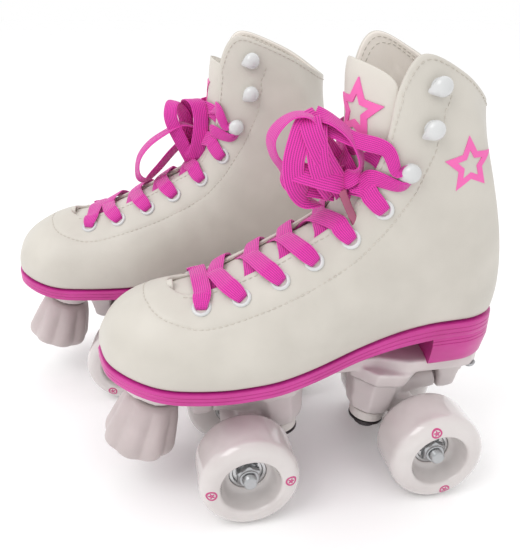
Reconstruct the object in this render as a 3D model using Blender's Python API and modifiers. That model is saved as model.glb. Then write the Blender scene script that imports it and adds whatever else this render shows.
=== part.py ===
"""A pair of quad roller skates: laced boots on nylon plates with sprung trucks, wheels and toe stops.

Sizes are in millimetres and become metres when a mesh or a place is made. Each skate is drawn in a
frame of its own: the origin on the floor midway between the axles, the toe towards -Y, the outer
side of the foot towards +X on the left skate. The right skate is the mirror image.
"""

import math

import bmesh
import bpy
from mathutils import Matrix, Vector

MM = 0.001
GAP = 0.3

# Pair: where each skate's own frame stands, and how far it is turned.
LEFT_PLACE, LEFT_TURN = (67.87, 49.75), 0.0
RIGHT_PLACE, RIGHT_TURN = (-57.03, -11.95), -8.2

# Soft boots never stand quite alike: how much further back each collar reaches.
LEFT_COLLAR, RIGHT_COLLAR = 0.0, 9.0

# Wheels and axles.
WHEEL_RADIUS, WHEEL_WIDTH, WHEEL_EDGE = 29.0, 34.0, 6.0
WHEELBASE = 113.4
TRACK_OUTSIDE = 106.5
DISH_RADIUS, DISH_DEPTH = 18.0, 13.0
BEARING_RADIUS = 11.0
AXLE_RADIUS, AXLE_LENGTH = 4.0, 100.4
NUT_ACROSS_FLATS, NUT_THICKNESS = 13.0, 6.0
WHEEL_SIDES = 20

# Trucks: the steering axis runs from the pivot socket down to the middle of the kingpin joint.
KINGPIN_FORWARD, KINGPIN_HEIGHT = 32.0, 48.0
PIVOT_REACH, PIVOT_HEIGHT = 77.0, 55.0
KINGPIN_LEAN = 8.0
BALL_RADIUS, BALL_HOLE = 16.0, 7.4
KINGPIN_RADIUS, CUSHION_RADIUS = 4.4, 11.0
CUSHION_LENGTH = 6.0
HANGER_RADIUS, HANGER_HALF = 9.0, 17.6
PIVOT_PIN_RADIUS, BOSS_REACH = 4.0, 80.0

# Plate.
PLATE_TOP, PLATE_THICKNESS = 80.4, 9.0

# Toe stop: a fluted rubber cone that leans forward.
STOP_TOP, STOP_HEIGHT, STOP_LEAN = (0.0, -106.5, 62.0), 35.0, 20.0
STOP_RADIUS_TOP, STOP_RADIUS_BOTTOM, STOP_FLUTES = 17.5, 23.5, 8
STOP_BOLT_RADIUS = 4.0

# Boot.
SOLE_BOTTOM, SOLE_BALL_TOP = 80.7, 88.0
TOE_RISE, HEEL_RISE = 7.5, 20.0
BREAST_Y, HEEL_FRONT_Y = 47.5, 54.0
WELT_OVERHANG, HEEL_TAPER = 1.2, 0.14
UPPER_THICKNESS, UPPER_LIFT = 2.4, 0.8
INSOLE_THICKNESS, TONGUE_THICKNESS = 4.0, 5.0

# How far the inner collar flap stands forward and above the outer one.
INNER_FLAP_FORWARD, INNER_FLAP_RISE = 5.0, 7.0

# Ribs of the boot's outer side, from the middle of the toe round to the middle of the heel. Each is
# a Bezier from the sole to the top edge: sole (x, y), two handles (x, y, z) and the edge (x, y, z).
RIBS = [
    ((0, -134.5), (0, -137, 113), (0, -122, 129), (0, -94, 135)),
    ((21, -128.0), (24, -131, 112), (16, -116, 128), (7, -92.5, 134.5)),
    ((37.5, -106.0), (42, -108, 109), (30, -101, 126), (11.5, -86, 133)),
    ((43, -76.0), (49, -78, 105), (37, -78, 122), (13.5, -74, 135)),
    ((42, -48.0), (49, -48, 107), (39, -50, 129), (15.5, -50, 144.5)),
    ((36.5, -20.0), (45, -20, 112), (36, -23, 139), (15.5, -25, 157)),
    ((31, 6.0), (40, 6, 118), (32, 0, 154), (15, -1, 173)),
    ((28.5, 30.0), (37, 31, 128), (32, 12, 172), (20, 9, 192)),
    ((28, 50.0), (36, 50, 140), (35, 26, 192), (27, 14, 214)),
    ((27.5, 66.0), (36, 68, 148), (36, 42, 215), (28, 18, 240)),
    ((26, 79.0), (34, 84, 150), (35, 53, 225), (27.5, 29, 255)),
    ((20, 90.5), (26, 97, 146), (32, 68, 210), (26, 52, 246)),
    ((11, 97.0), (14, 102, 142), (19, 75, 190), (15, 71, 233)),
    ((0, 99.0), (0, 104, 140), (0, 74, 188), (0, 77, 229)),
]

# The tongue's middle line, seen from the side: y, z of its outer face, half width and how far its
# sides fall back from the middle.
TONGUE = [
    (-102, 127.0, 12, 3.5),
    (-86, 129.5, 14.5, 4.2),
    (-70, 132.5, 16.5, 5.2),
    (-50, 141.5, 19.5, 6.5),
    (-30, 151.5, 19.5, 7.8),
    (-13, 160.5, 19.5, 9.7),
    (-1, 175.0, 20, 12.0),
    (3.5, 195.0, 21, 14.0),
    (3, 216.0, 22.5, 15.0),
    (2, 236.0, 22.5, 15.0),
    (0, 250.0, 17, 11.0),
]

COLOURS = {
    "boot": ((0.78, 0.75, 0.70), 0.42, 0.0),
    "tongue": ((0.77, 0.74, 0.70), 0.45, 0.0),
    "insole": ((0.55, 0.53, 0.50), 0.90, 0.0),
    "sole": ((0.70, 0.03, 0.37), 0.38, 0.0),
    "plate": ((0.74, 0.70, 0.69), 0.40, 0.0),
    "stop": ((0.76, 0.72, 0.70), 0.45, 0.0),
    "wheel": ((0.84, 0.81, 0.80), 0.22, 0.0),
    "cushion": ((0.72, 0.70, 0.68), 0.55, 0.0),
    "steel": ((0.60, 0.60, 0.60), 0.25, 1.0),
    "lace": ((0.72, 0.02, 0.40), 0.80, 0.0),
}


# ---------------------------------------------------------------- helpers
def clear_scene():
    for obj in list(bpy.data.objects):
        bpy.data.objects.remove(obj, do_unlink=True)


def collection(name):
    found = bpy.data.collections.new(name)
    bpy.context.scene.collection.children.link(found)
    return found


def material(name, finish):
    colour, roughness, metallic = COLOURS[finish]
    made = bpy.data.materials.new(name)
    made.use_nodes = True
    shader = made.node_tree.nodes["Principled BSDF"]
    shader.inputs["Base Color"].default_value = (*colour, 1.0)
    shader.inputs["Roughness"].default_value = roughness
    shader.inputs["Metallic"].default_value = metallic
    made.diffuse_color = (*colour, 1.0)
    return made


def metres(point):
    return Vector(point) * MM


def smoothstep(value, low, high):
    t = min(max((value - low) / (high - low), 0.0), 1.0)
    return t * t * (3.0 - 2.0 * t)


def spline(points, position):
    """Catmull-Rom through a list of equal-length tuples, at a position counted in points."""
    last = len(points) - 1
    i = min(int(position), last - 1)
    t = position - i
    a, b, c, d = (points[min(max(k, 0), last)] for k in (i - 1, i, i + 1, i + 2))
    return tuple(
        0.5 * (2 * q + (r - p) * t + (2 * p - 5 * q + 4 * r - s) * t**2 + (3 * q - p - 3 * r + s) * t**3)
        for p, q, r, s in zip(a, b, c, d)
    )


def bezier(ends, t):
    a, b, c, d = (Vector(p) for p in ends)
    s = 1.0 - t
    return a * s**3 + b * (3 * s * s * t) + c * (3 * s * t * t) + d * t**3


def turning_towards(direction):
    """Rotation that takes +Z onto a direction in the YZ or XZ plane."""
    return Vector((0, 0, 1)).rotation_difference(Vector(direction).normalized())


class Skate:
    """Names, mirrors and places the pieces of one skate."""

    def __init__(self, name, side, place, turn, collar, parts, tools):
        self.name, self.side, self.parts, self.tools = name, side, parts, tools
        self.collar = collar
        self.root = bpy.data.objects.new(name + "_skate", None)
        parts.objects.link(self.root)
        self.root.location = metres((*place, 0.0))
        self.root.rotation_euler.z = math.radians(turn)

    def mirror(self, point):
        return Vector((point[0] * self.side, point[1], point[2]))

    def part(self, name, mesh, finish, at=(0, 0, 0), rotation=None):
        full_name = self.name + "_" + name
        obj = bpy.data.objects.new(full_name, mesh)
        self.parts.objects.link(obj)
        obj.parent = self.root
        obj.location = metres(self.mirror(at))
        if rotation is not None:
            obj.rotation_mode = "QUATERNION"
            obj.rotation_quaternion = rotation
        if not mesh.materials:
            mesh.materials.append(material(full_name, finish))
        return obj

    def tool(self, name, mesh, at=(0, 0, 0), rotation=None):
        obj = bpy.data.objects.new(self.name + "_" + name, mesh)
        self.tools.objects.link(obj)
        obj.parent = self.root
        obj.location = metres(self.mirror(at))
        if rotation is not None:
            obj.rotation_mode = "QUATERNION"
            obj.rotation_quaternion = rotation
        obj.hide_render = True
        obj.display_type = "WIRE"
        return obj


def mesh_from(name, build):
    """A mesh from a function that fills a bmesh in millimetres."""
    bm = bmesh.new()
    build(bm)
    bmesh.ops.scale(bm, vec=(MM, MM, MM), verts=bm.verts)
    mesh = bpy.data.meshes.new(name)
    bm.to_mesh(mesh)
    bm.free()
    return mesh


def cylinder(name, radius, height, sides=16, top_radius=None):
    """A cylinder or a cone frustum about Z, centred on the origin."""

    def build(bm):
        bmesh.ops.create_cone(
            bm,
            cap_ends=True,
            segments=sides,
            radius1=radius,
            radius2=radius if top_radius is None else top_radius,
            depth=height,
        )

    return smooth(mesh_from(name, build))


def smooth(mesh, angle=40.0):
    mesh.shade_smooth()
    mesh.set_sharp_from_angle(angle=math.radians(angle))
    return mesh


def profile_mesh(name, points, closed):
    """A turned shape's outline: (radius, height) pairs in the XZ plane."""
    mesh = bpy.data.meshes.new(name)
    count = len(points)
    edges = [(i, (i + 1) % count) for i in range(count if closed else count - 1)]
    mesh.from_pydata([metres((r, 0.0, z)) for r, z in points], edges, [])
    return mesh


def turn_profile(obj, sides):
    screw = obj.modifiers.new("turn", "SCREW")
    screw.steps = screw.render_steps = sides
    screw.use_merge_vertices = True
    screw.merge_threshold = 0.00001
    screw.use_smooth_shade = True


def boolean(obj, other, operation):
    step = obj.modifiers.new(operation.lower(), "BOOLEAN")
    step.operation = operation
    step.object = other


def loft(bm, rings, flip):
    """Skins a list of closed rings of equal length and caps both ends."""
    rows = [[bm.verts.new(point) for point in ring] for ring in rings]
    count = len(rows[0])
    for low, high in zip(rows, rows[1:]):
        for i in range(count):
            j = (i + 1) % count
            quad = (low[i], low[j], high[j], high[i])
            bm.faces.new(reversed(quad) if flip else quad)
    bm.faces.new(rows[0] if flip else reversed(rows[0]))
    bm.faces.new(reversed(rows[-1]) if flip else rows[-1])


# ---------------------------------------------------------------- the boot's surfaces
def sole_top(y):
    toe = max((-90.0 - y) / 44.5, 0.0)
    return SOLE_BALL_TOP + TOE_RISE * toe * toe + HEEL_RISE * smoothstep(y, -45.0, 62.0)


def sole_underside(y):
    if y >= HEEL_FRONT_Y:
        return SOLE_BOTTOM
    return sole_top(y) - 7.3 - 2.2 * smoothstep(y, 0.0, 47.0)


def opened(point, collar):
    """Lets the back of the ankle and collar reach further back, growing with height."""
    reach = collar * smoothstep(point.y, 25.0, 70.0) * smoothstep(point.z, 110.0, 215.0)
    return Vector((point.x, point.y + reach, point.z))


def foot_bend(point):
    """Turns the straight last into a left or right one.

    Toe and waist lean to the inner side, and the inner flap stands a little higher and further forward.
    """
    x, y, z = point
    if x < 0.0:
        flap = smoothstep(z, 195.0, 255.0) * smoothstep(-x, 5.0, 25.0)
        y -= INNER_FLAP_FORWARD * flap
        z += INNER_FLAP_RISE * flap
    low = 1.0 - smoothstep(z, 105.0, 150.0)
    x -= 4.0 * smoothstep(-y, 60.0, 134.0) * low
    if x < 0.0:
        x *= 1.0 - 0.10 * low * math.exp(-(((y - 5.0) / 32.0) ** 2))
    return Vector((x, y, z))


def rib(position):
    """The four Bezier points at a position counted in ribs, from toe to heel."""
    sole = spline([r[0] for r in RIBS], position)
    handles = [spline([r[k] for r in RIBS], position) for k in (1, 2, 3)]
    return [(sole[0], sole[1], sole_top(sole[1]) + UPPER_LIFT)] + handles


def half_positions(step):
    """Rib positions from the toe to the heel, ends included."""
    count = round((len(RIBS) - 1) / step)
    return [(len(RIBS) - 1) * i / count for i in range(count + 1)]


def around(positions, curve):
    """Points of the whole loop: the outer side from toe to heel, then the inner side back."""
    outer = [curve(p) for p in positions]
    inner = [Vector((-p.x, p.y, p.z)) for p in outer[-2:0:-1]]
    return [foot_bend(p) for p in outer + inner]


def make_upper(skate):
    rows = 7
    positions = half_positions(0.7)

    def build(bm):
        loops = []
        for row in range(rows + 1):
            t = row / rows
            loop = around(positions, lambda p: bezier(rib(p), t))
            loops.append([bm.verts.new(skate.mirror(opened(p, skate.collar))) for p in loop])
        count = len(loops[0])
        for low, high in zip(loops, loops[1:]):
            for i in range(count):
                j = (i + 1) % count
                quad = (low[i], low[j], high[j], high[i])
                bm.faces.new(quad if skate.side > 0 else reversed(quad))

    mesh = smooth(mesh_from(skate.name + "_upper", build), 60.0)
    upper = skate.part("upper", mesh, "boot")
    wall = upper.modifiers.new("wall", "SOLIDIFY")
    wall.thickness = UPPER_THICKNESS * MM
    wall.offset = -1.0
    wall.use_even_offset = True


def sole_outline(position, grow):
    """A point of the sole's outer outline, moved outwards by grow."""
    here = Vector((*spline([r[0] for r in RIBS], position), 0.0))
    step = 0.02
    before = Vector((*spline([r[0] for r in RIBS], max(position - step, 0.0)), 0.0))
    after = Vector((*spline([r[0] for r in RIBS], min(position + step, len(RIBS) - 1.0)), 0.0))
    along = (after - before).normalized()
    if position in (0.0, len(RIBS) - 1.0):
        along = Vector((1.0 if position == 0.0 else -1.0, 0.0, 0.0))
    return here + Vector((along.y, -along.x, 0.0)) * grow


def rib_at(y):
    """The position, in ribs, where the sole's outline passes a given y."""
    low, high = 0.0, len(RIBS) - 1.0
    for _ in range(40):
        middle = 0.5 * (low + high)
        if spline([r[0] for r in RIBS], middle)[1] < y:
            low = middle
        else:
            high = middle
    return low


def slab_between(name, skate, positions, top, bottom, grow_top, grow_bottom):
    """A flat piece under the foot: its top and underside are functions of y across the whole width."""

    def edge(position, height, grow):
        point = sole_outline(position, grow(position))
        return Vector((point.x, point.y, height(point.y)))

    def build(bm):
        upper = around(positions, lambda p: edge(p, top, grow_top))
        lower = around(positions, lambda p: edge(p, bottom, grow_bottom))
        a = [bm.verts.new(skate.mirror(p)) for p in upper]
        b = [bm.verts.new(skate.mirror(p)) for p in lower]
        count, last = len(a), len(positions) - 1
        for i in range(count):
            j = (i + 1) % count
            bm.faces.new((b[i], b[j], a[j], a[i]))
        for row in (a, b):
            for i in range(last):
                strip = (row[i], row[i + 1], row[(count - i - 1) % count], row[(count - i) % count])
                bm.faces.new(dict.fromkeys(strip))
        bmesh.ops.recalc_face_normals(bm, faces=bm.faces)

    return smooth(mesh_from(name, build), 35.0)


def make_outsole(skate):
    breast, heel = rib_at(BREAST_Y), rib_at(HEEL_FRONT_Y)
    positions = [p for p in half_positions(0.6) if not breast - 0.15 < p < heel + 0.15]
    positions = sorted(positions + [breast, heel])

    def tapered(position):
        y = spline([r[0] for r in RIBS], position)[1]
        return WELT_OVERHANG - HEEL_TAPER * max(sole_top(y) - sole_underside(y) - 9.5, 0.0)

    def underside(y):
        return SOLE_BOTTOM if y > 0.5 * (BREAST_Y + HEEL_FRONT_Y) else sole_underside(y)

    mesh = slab_between(
        skate.name + "_outsole", skate, positions, sole_top, underside, lambda p: WELT_OVERHANG, tapered
    )
    skate.part("outsole", mesh, "sole")


def make_insole(skate):
    inset = UPPER_THICKNESS + 1.0
    mesh = slab_between(
        skate.name + "_insole",
        skate,
        half_positions(0.8),
        lambda y: sole_top(y) + GAP + INSOLE_THICKNESS,
        lambda y: sole_top(y) + GAP,
        lambda p: -inset,
        lambda p: -inset,
    )
    skate.part("insole", mesh, "insole")


def make_tongue(skate):
    across = 6

    def section(position):
        y, z, half, fall = spline(TONGUE, position)
        ahead = spline(TONGUE, min(position + 0.05, len(TONGUE) - 1.0))
        behind = spline(TONGUE, max(position - 0.05, 0.0))
        along = Vector((0.0, ahead[0] - behind[0], ahead[1] - behind[1])).normalized()
        inward = Vector((0.0, along.z, -along.y))
        points = []
        for i in range(across + 1):
            s = 2.0 * i / across - 1.0
            points.append(Vector((half * s, y, z)) + inward * fall * s * s)
        thin = [0.35 + 0.65 * (1.0 - abs(2.0 * i / across - 1.0) ** 3) for i in range(across + 1)]
        back = [p + inward * TONGUE_THICKNESS * k for p, k in zip(points, thin)]
        return points + back[::-1]

    def build(bm):
        steps = 15
        rings = []
        for i in range(steps + 1):
            ring = section((len(TONGUE) - 1) * i / steps)
            rings.append([skate.mirror(p) for p in ring])
        loft(bm, rings, skate.side < 0)
        bmesh.ops.recalc_face_normals(bm, faces=bm.faces)

    skate.part("tongue", smooth(mesh_from(skate.name + "_tongue", build), 50.0), "tongue")


def make_laces(skate):
    """A plain cover over the lacing between the two rows of eyelets, and up to the lowest hooks."""
    across, steps = 6, 10
    first, last = 2.3, 7.7

    def strip(position, lift):
        edge = bezier(rib(position), 1.0)
        eyelet = bezier(rib(position), 0.90)
        out = Vector((0.0, -0.75, 0.66)) if position > 5 else Vector((0.0, -0.2, 0.98))
        middle = Vector((0.0, edge.y, edge.z)) + out * (3.0 + 6.0 * smoothstep(position, 4.0, 8.0))
        points = []
        for i in range(across + 1):
            s = 2.0 * i / across - 1.0
            base = middle.lerp(Vector((0.0, eyelet.y, eyelet.z)), s * s)
            points.append(Vector((eyelet.x * s, base.y, base.z)) + out * lift)
        return points

    def build(bm):
        rings = []
        for i in range(steps + 1):
            position = first + (last - first) * i / steps
            ring = strip(position, 7.5) + strip(position, 4.5)[::-1]
            rings.append([skate.mirror(p) for p in ring])
        loft(bm, rings, skate.side < 0)
        bmesh.ops.recalc_face_normals(bm, faces=bm.faces)

    skate.part("laces", smooth(mesh_from(skate.name + "_laces", build), 50.0), "lace")


# ---------------------------------------------------------------- plate and toe stop
def plate_outline():
    """Half outline of the plate, from the front to the back, as (half width, y)."""
    front = [(26 * math.sin(a), -98 - 26 * math.cos(a)) for a in (0.35, 0.7, 1.05, 1.4)]
    sides = [(27, -88), (27, -52), (15, -30), (14, 28), (22, 44), (22, 78)]
    back = [(22 * math.cos(a), 79 + 18 * math.sin(a)) for a in (0.4, 0.8, 1.2)]
    return front + sides + back


def truck_frame(end):
    """Steering axis of a truck: end is -1 for the front one and +1 for the rear one."""
    ball = Vector((0.0, end * KINGPIN_FORWARD, KINGPIN_HEIGHT))
    pivot = Vector((0.0, end * PIVOT_REACH, PIVOT_HEIGHT))
    lean = math.radians(KINGPIN_LEAN)
    kingpin = Vector((0.0, end * math.sin(lean), math.cos(lean)))
    return ball, (pivot - ball).normalized(), kingpin


def make_plate(skate):
    half = plate_outline()
    outline = half + [(-x, y) for x, y in reversed(half)]

    def build(bm):
        levels = ((PLATE_TOP - PLATE_THICKNESS, 0.96), (PLATE_TOP, 1.0))
        rings = [[Vector((x * grow, y, z)) for x, y in outline] for z, grow in levels]
        loft(bm, rings, False)
        bmesh.ops.recalc_face_normals(bm, faces=bm.faces)

    mesh = smooth(mesh_from(skate.name + "_plate", build), 35.0)
    plate = skate.part("plate", mesh, "plate")
    bottom = PLATE_TOP - PLATE_THICKNESS
    lean = math.radians(STOP_LEAN)
    stop_axis = Vector((0.0, math.sin(lean), math.cos(lean)))
    collar_at = Vector(STOP_TOP) + stop_axis * 7.0
    collar = cylinder("stop_collar", 14.0, 12.0, 20, 16.0)
    boolean(plate, skate.tool("stop_collar", collar, collar_at, turning_towards(stop_axis)), "UNION")
    for end, label in ((-1, "front"), (1, "rear")):
        ball, axis, kingpin = truck_frame(end)
        seat_low = ball + kingpin * (BALL_RADIUS - 3.0 + CUSHION_LENGTH + GAP)
        seat_length = (bottom + 3.0 - seat_low.z) / kingpin.z
        seat = cylinder("seat", 12.5, seat_length, 20, 15.0)
        seat_at = seat_low + kingpin * seat_length / 2
        boolean(plate, skate.tool(label + "_seat", seat, seat_at, turning_towards(kingpin)), "UNION")
        boss = skate.tool(label + "_boss", pivot_boss(end), (0, end * BOSS_REACH, 0))
        boolean(plate, boss, "UNION")
        socket = cylinder("socket", PIVOT_PIN_RADIUS + GAP, 20.0, 16)
        socket_at = ball + axis * ((BOSS_REACH - KINGPIN_FORWARD) / abs(axis.y) - 4.0)
        socket = skate.tool(label + "_socket", socket, socket_at, turning_towards(axis))
        boolean(plate, socket, "DIFFERENCE")
        hole = cylinder("hole", KINGPIN_RADIUS + GAP, 60.0, 16)
        hole_at = ball + kingpin * 40.0
        boolean(plate, skate.tool(label + "_hole", hole, hole_at, turning_towards(kingpin)), "DIFFERENCE")
    stem = cylinder("stem", STOP_BOLT_RADIUS + GAP, 60.0, 16)
    boolean(plate, skate.tool("stop_stem", stem, collar_at, turning_towards(stop_axis)), "DIFFERENCE")


def pivot_boss(end):
    """A wedge that hangs from the plate and carries the pivot socket."""

    def build(bm):
        sections = ((46.0, 4.0, 3.0), (50.0, 7.5, 6.0), (60.0, 9.0, 7.0), (74.0, 11.0, 12.0))
        rings = []
        for z, half_x, half_y in sections:
            corners = ((-1, -1), (1, -1), (1, 1), (-1, 1))
            shift = end * (74.0 - z) * 0.05
            rings.append([Vector((half_x * a, half_y * b - shift, z)) for a, b in corners])
        loft(bm, rings, False)

    return mesh_from("pivot_boss", build)


def make_toe_stop(skate):
    sides = STOP_FLUTES * 3

    def build(bm):
        profile = ((0.0, 0.86), (0.06, 0.97), (0.45, 1.0), (0.93, 1.0), (1.0, 0.9))
        rings = []
        for share, fill in profile:
            radius = STOP_RADIUS_TOP + (STOP_RADIUS_BOTTOM - STOP_RADIUS_TOP) * share
            flute = 0.07 * min(share * 3.0, 1.0)
            ring = []
            for i in range(sides):
                angle = 2 * math.pi * i / sides
                r = radius * fill * (1.0 + flute * (math.cos(STOP_FLUTES * angle) - 1.0))
                ring.append(Vector((r * math.cos(angle), r * math.sin(angle), -STOP_HEIGHT * share)))
            rings.append(ring)
        loft(bm, rings, True)

    lean = math.radians(STOP_LEAN)
    axis = Vector((0.0, math.sin(lean), math.cos(lean)))
    turn = turning_towards(axis)
    top = Vector(STOP_TOP) - axis * GAP
    cone = smooth(mesh_from(skate.name + "_toe_stop", build), 30.0)
    stop = skate.part("toe_stop", cone, "stop", top, turn)
    well = cylinder("well", 9.0, 16.0, 20)
    boolean(stop, skate.tool("stop_well", well, top - axis * STOP_HEIGHT, turn), "DIFFERENCE")
    bore = cylinder("bore", STOP_BOLT_RADIUS + GAP, 80.0, 16)
    boolean(stop, skate.tool("stop_bore", bore, top - axis * 20.0, turn), "DIFFERENCE")

    head, shank = STOP_HEIGHT - 8.0 + GAP, 14.0
    points = [
        (0.0, shank),
        (STOP_BOLT_RADIUS, shank),
        (STOP_BOLT_RADIUS, -head),
        (7.5, -head),
        (7.5, -head - 5.0),
        (0.0, -head - 5.0),
    ]
    name = skate.name + "_toe_stop_bolt"
    bolt = skate.part("toe_stop_bolt", profile_mesh(name, points, False), "steel", top, turn)
    turn_profile(bolt, 12)


# ---------------------------------------------------------------- trucks and wheels
def make_truck(skate, end, label):
    ball, axis, kingpin = truck_frame(end)
    axle = Vector((0.0, end * WHEELBASE / 2, WHEEL_RADIUS))
    along_x = turning_towards((1, 0, 0))
    name = skate.name + "_" + label + "_truck"

    housing = cylinder(name, HANGER_RADIUS, 2 * HANGER_HALF, 20)
    hanger = skate.part(label + "_truck", housing, "plate", axle, along_x)

    def hub(bm):
        bmesh.ops.create_uvsphere(bm, u_segments=16, v_segments=12, radius=BALL_RADIUS)

    hub_tool = skate.tool(label + "_hub", smooth(mesh_from("hub", hub)), ball, turning_towards(kingpin))
    boolean(hanger, hub_tool, "UNION")
    arm_start, arm_end = ball + axis * 6.0, ball + axis * 40.0
    arm = cylinder("arm", 7.5, (arm_end - arm_start).length, 16)
    arm_tool = skate.tool(label + "_arm", arm, (arm_start + arm_end) / 2, turning_towards(axis))
    boolean(hanger, arm_tool, "UNION")
    pin_end = ball + axis * 53.0
    pin = cylinder("pin", PIVOT_PIN_RADIUS, 20.0, 16)
    boolean(hanger, skate.tool(label + "_pin", pin, pin_end - axis * 10.0, turning_towards(axis)), "UNION")
    web = skate.tool(label + "_web", truck_web(ball, axle, axis))
    boolean(hanger, web, "UNION")
    hole = cylinder("hole", BALL_HOLE, 60.0, 20)
    boolean(hanger, skate.tool(label + "_eye", hole, ball, turning_towards(kingpin)), "DIFFERENCE")
    bore = cylinder("bore", AXLE_RADIUS + GAP, 80.0, 16)
    boolean(hanger, skate.tool(label + "_bore", bore, axle, along_x), "DIFFERENCE")

    for sign, place in ((1, "upper"), (-1, "lower")):
        cushion = skate.part(
            label + "_" + place + "_cushion",
            profile_mesh(skate.name + "_" + label + "_" + place, cushion_profile(sign), True),
            "cushion",
            ball,
            turning_towards(kingpin),
        )
        turn_profile(cushion, 16)
    low = -(BALL_RADIUS - 3.0 + CUSHION_LENGTH + GAP)
    high = (PLATE_TOP - 1.5 - ball.z) / kingpin.z
    points = [
        (0.0, high),
        (KINGPIN_RADIUS, high),
        (KINGPIN_RADIUS, low),
        (CUSHION_RADIUS, low),
        (CUSHION_RADIUS, low - 1.5),
        (7.0, low - 1.5),
        (7.0, low - 6.0),
        (0.0, low - 6.0),
    ]
    mesh = profile_mesh(skate.name + "_" + label + "_kingpin", points, False)
    turn_profile(skate.part(label + "_kingpin", mesh, "steel", ball, turning_towards(kingpin)), 12)
    rod = cylinder(skate.name + "_" + label + "_axle", AXLE_RADIUS, AXLE_LENGTH, 16)
    skate.part(label + "_axle", rod, "steel", axle, along_x)


def truck_web(ball, axle, axis):
    """The casting between the axle housing, the kingpin eye and the pivot arm."""

    def build(bm):
        near = ball.lerp(axle, 0.42)
        foot = Vector((0.0, axle.y, axle.z + 2.0))
        head = ball + axis * 26.0
        rings = []
        for centre, half_x, half_z in ((near, 11.0, 9.0), (foot.lerp(head, 0.2), 16.0, 8.0)):
            corners = ((-1, -1), (1, -1), (1, 1), (-1, 1))
            rings.append([centre + Vector((half_x * a, 0.0, half_z * b)) for a, b in corners])
        loft(bm, rings, False)
        bmesh.ops.recalc_face_normals(bm, faces=bm.faces)

    return mesh_from("web", build)


def cushion_profile(sign):
    """Outline of a rubber cushion whose inner end is hollowed to seat on the kingpin joint's ball."""
    bore = KINGPIN_RADIUS + GAP
    seat = BALL_RADIUS + GAP
    far = BALL_RADIUS - 3.0 + CUSHION_LENGTH
    arc = []
    for i in range(5):
        r = bore + (CUSHION_RADIUS - bore) * i / 4
        arc.append((r, math.sqrt(seat * seat - r * r)))
    points = [(bore, far), (CUSHION_RADIUS, far)] + arc[::-1]
    if sign > 0:
        return points
    return [(r, -z) for r, z in reversed(points)]


def wheel_profile():
    """Tread, rounded edges and the dished outer face; +Z is the outer side of the wheel."""
    radius = WHEEL_RADIUS / math.cos(math.pi / WHEEL_SIDES)
    half, edge = WHEEL_WIDTH / 2, WHEEL_EDGE
    bore = BEARING_RADIUS + GAP
    return [
        (DISH_RADIUS, half - 0.8),
        (DISH_RADIUS + 1.0, half),
        (radius - edge, half),
        (radius - 0.3 * edge, half - 0.3 * edge),
        (radius, half - edge),
        (radius, edge - half),
        (radius - 0.3 * edge, 0.3 * edge - half),
        (radius - edge, -half),
        (bore, -half),
        (bore, half - DISH_DEPTH),
    ]


def make_wheels(skate, end, label):
    axle = Vector((0.0, end * WHEELBASE / 2, WHEEL_RADIUS))
    half = WHEEL_WIDTH / 2
    facet = Matrix.Rotation(math.pi / WHEEL_SIDES, 3, "Z").to_quaternion()
    for out, place in ((1, "outer"), (-1, "inner")):
        name = label + "_" + place
        outwards = out * skate.side
        turn = turning_towards((outwards, 0, 0))
        centre = axle + Vector((out * (TRACK_OUTSIDE / 2 - half), 0.0, 0.0))
        mesh = profile_mesh(skate.name + "_" + name + "_wheel", wheel_profile(), True)
        turn_profile(skate.part(name + "_wheel", mesh, "wheel", centre, turn @ facet), WHEEL_SIDES)

        inner_face, outer_face = 0.6 - half, half - DISH_DEPTH - GAP
        bore = AXLE_RADIUS + GAP
        ring = [
            (bore, outer_face),
            (BEARING_RADIUS, outer_face),
            (BEARING_RADIUS, inner_face),
            (bore, inner_face),
        ]
        mesh = profile_mesh(skate.name + "_" + name + "_bearing", ring, True)
        turn_profile(skate.part(name + "_bearing", mesh, "steel", centre, turn), 16)

        nut_name = skate.name + "_" + name + "_nut"
        nut = cylinder(nut_name, NUT_ACROSS_FLATS / math.sqrt(3), NUT_THICKNESS, 6)
        nut_at = centre + Vector((out * (outer_face + GAP + NUT_THICKNESS / 2), 0.0, 0.0))
        nut = skate.part(name + "_nut", nut, "steel", nut_at, turn)
        thread = cylinder("thread", AXLE_RADIUS + GAP, 20.0, 16)
        boolean(nut, skate.tool(name + "_thread", thread, nut_at, turn), "DIFFERENCE")


def make_skate(name, side, place, turn, collar, parts, tools):
    skate = Skate(name, side, place, turn, collar, parts, tools)
    make_upper(skate)
    make_tongue(skate)
    make_insole(skate)
    make_outsole(skate)
    make_laces(skate)
    make_plate(skate)
    make_toe_stop(skate)
    for end, label in ((-1, "front"), (1, "rear")):
        make_truck(skate, end, label)
        make_wheels(skate, end, label)


clear_scene()
skate_parts = collection("roller_skates")
cutters = collection("cutters")
make_skate("left", 1, LEFT_PLACE, LEFT_TURN, LEFT_COLLAR, skate_parts, cutters)
make_skate("right", -1, RIGHT_PLACE, RIGHT_TURN, RIGHT_COLLAR, skate_parts, cutters)
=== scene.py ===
import math

import bmesh
import bpy
import numpy as np
from mathutils import Matrix, Vector


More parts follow.
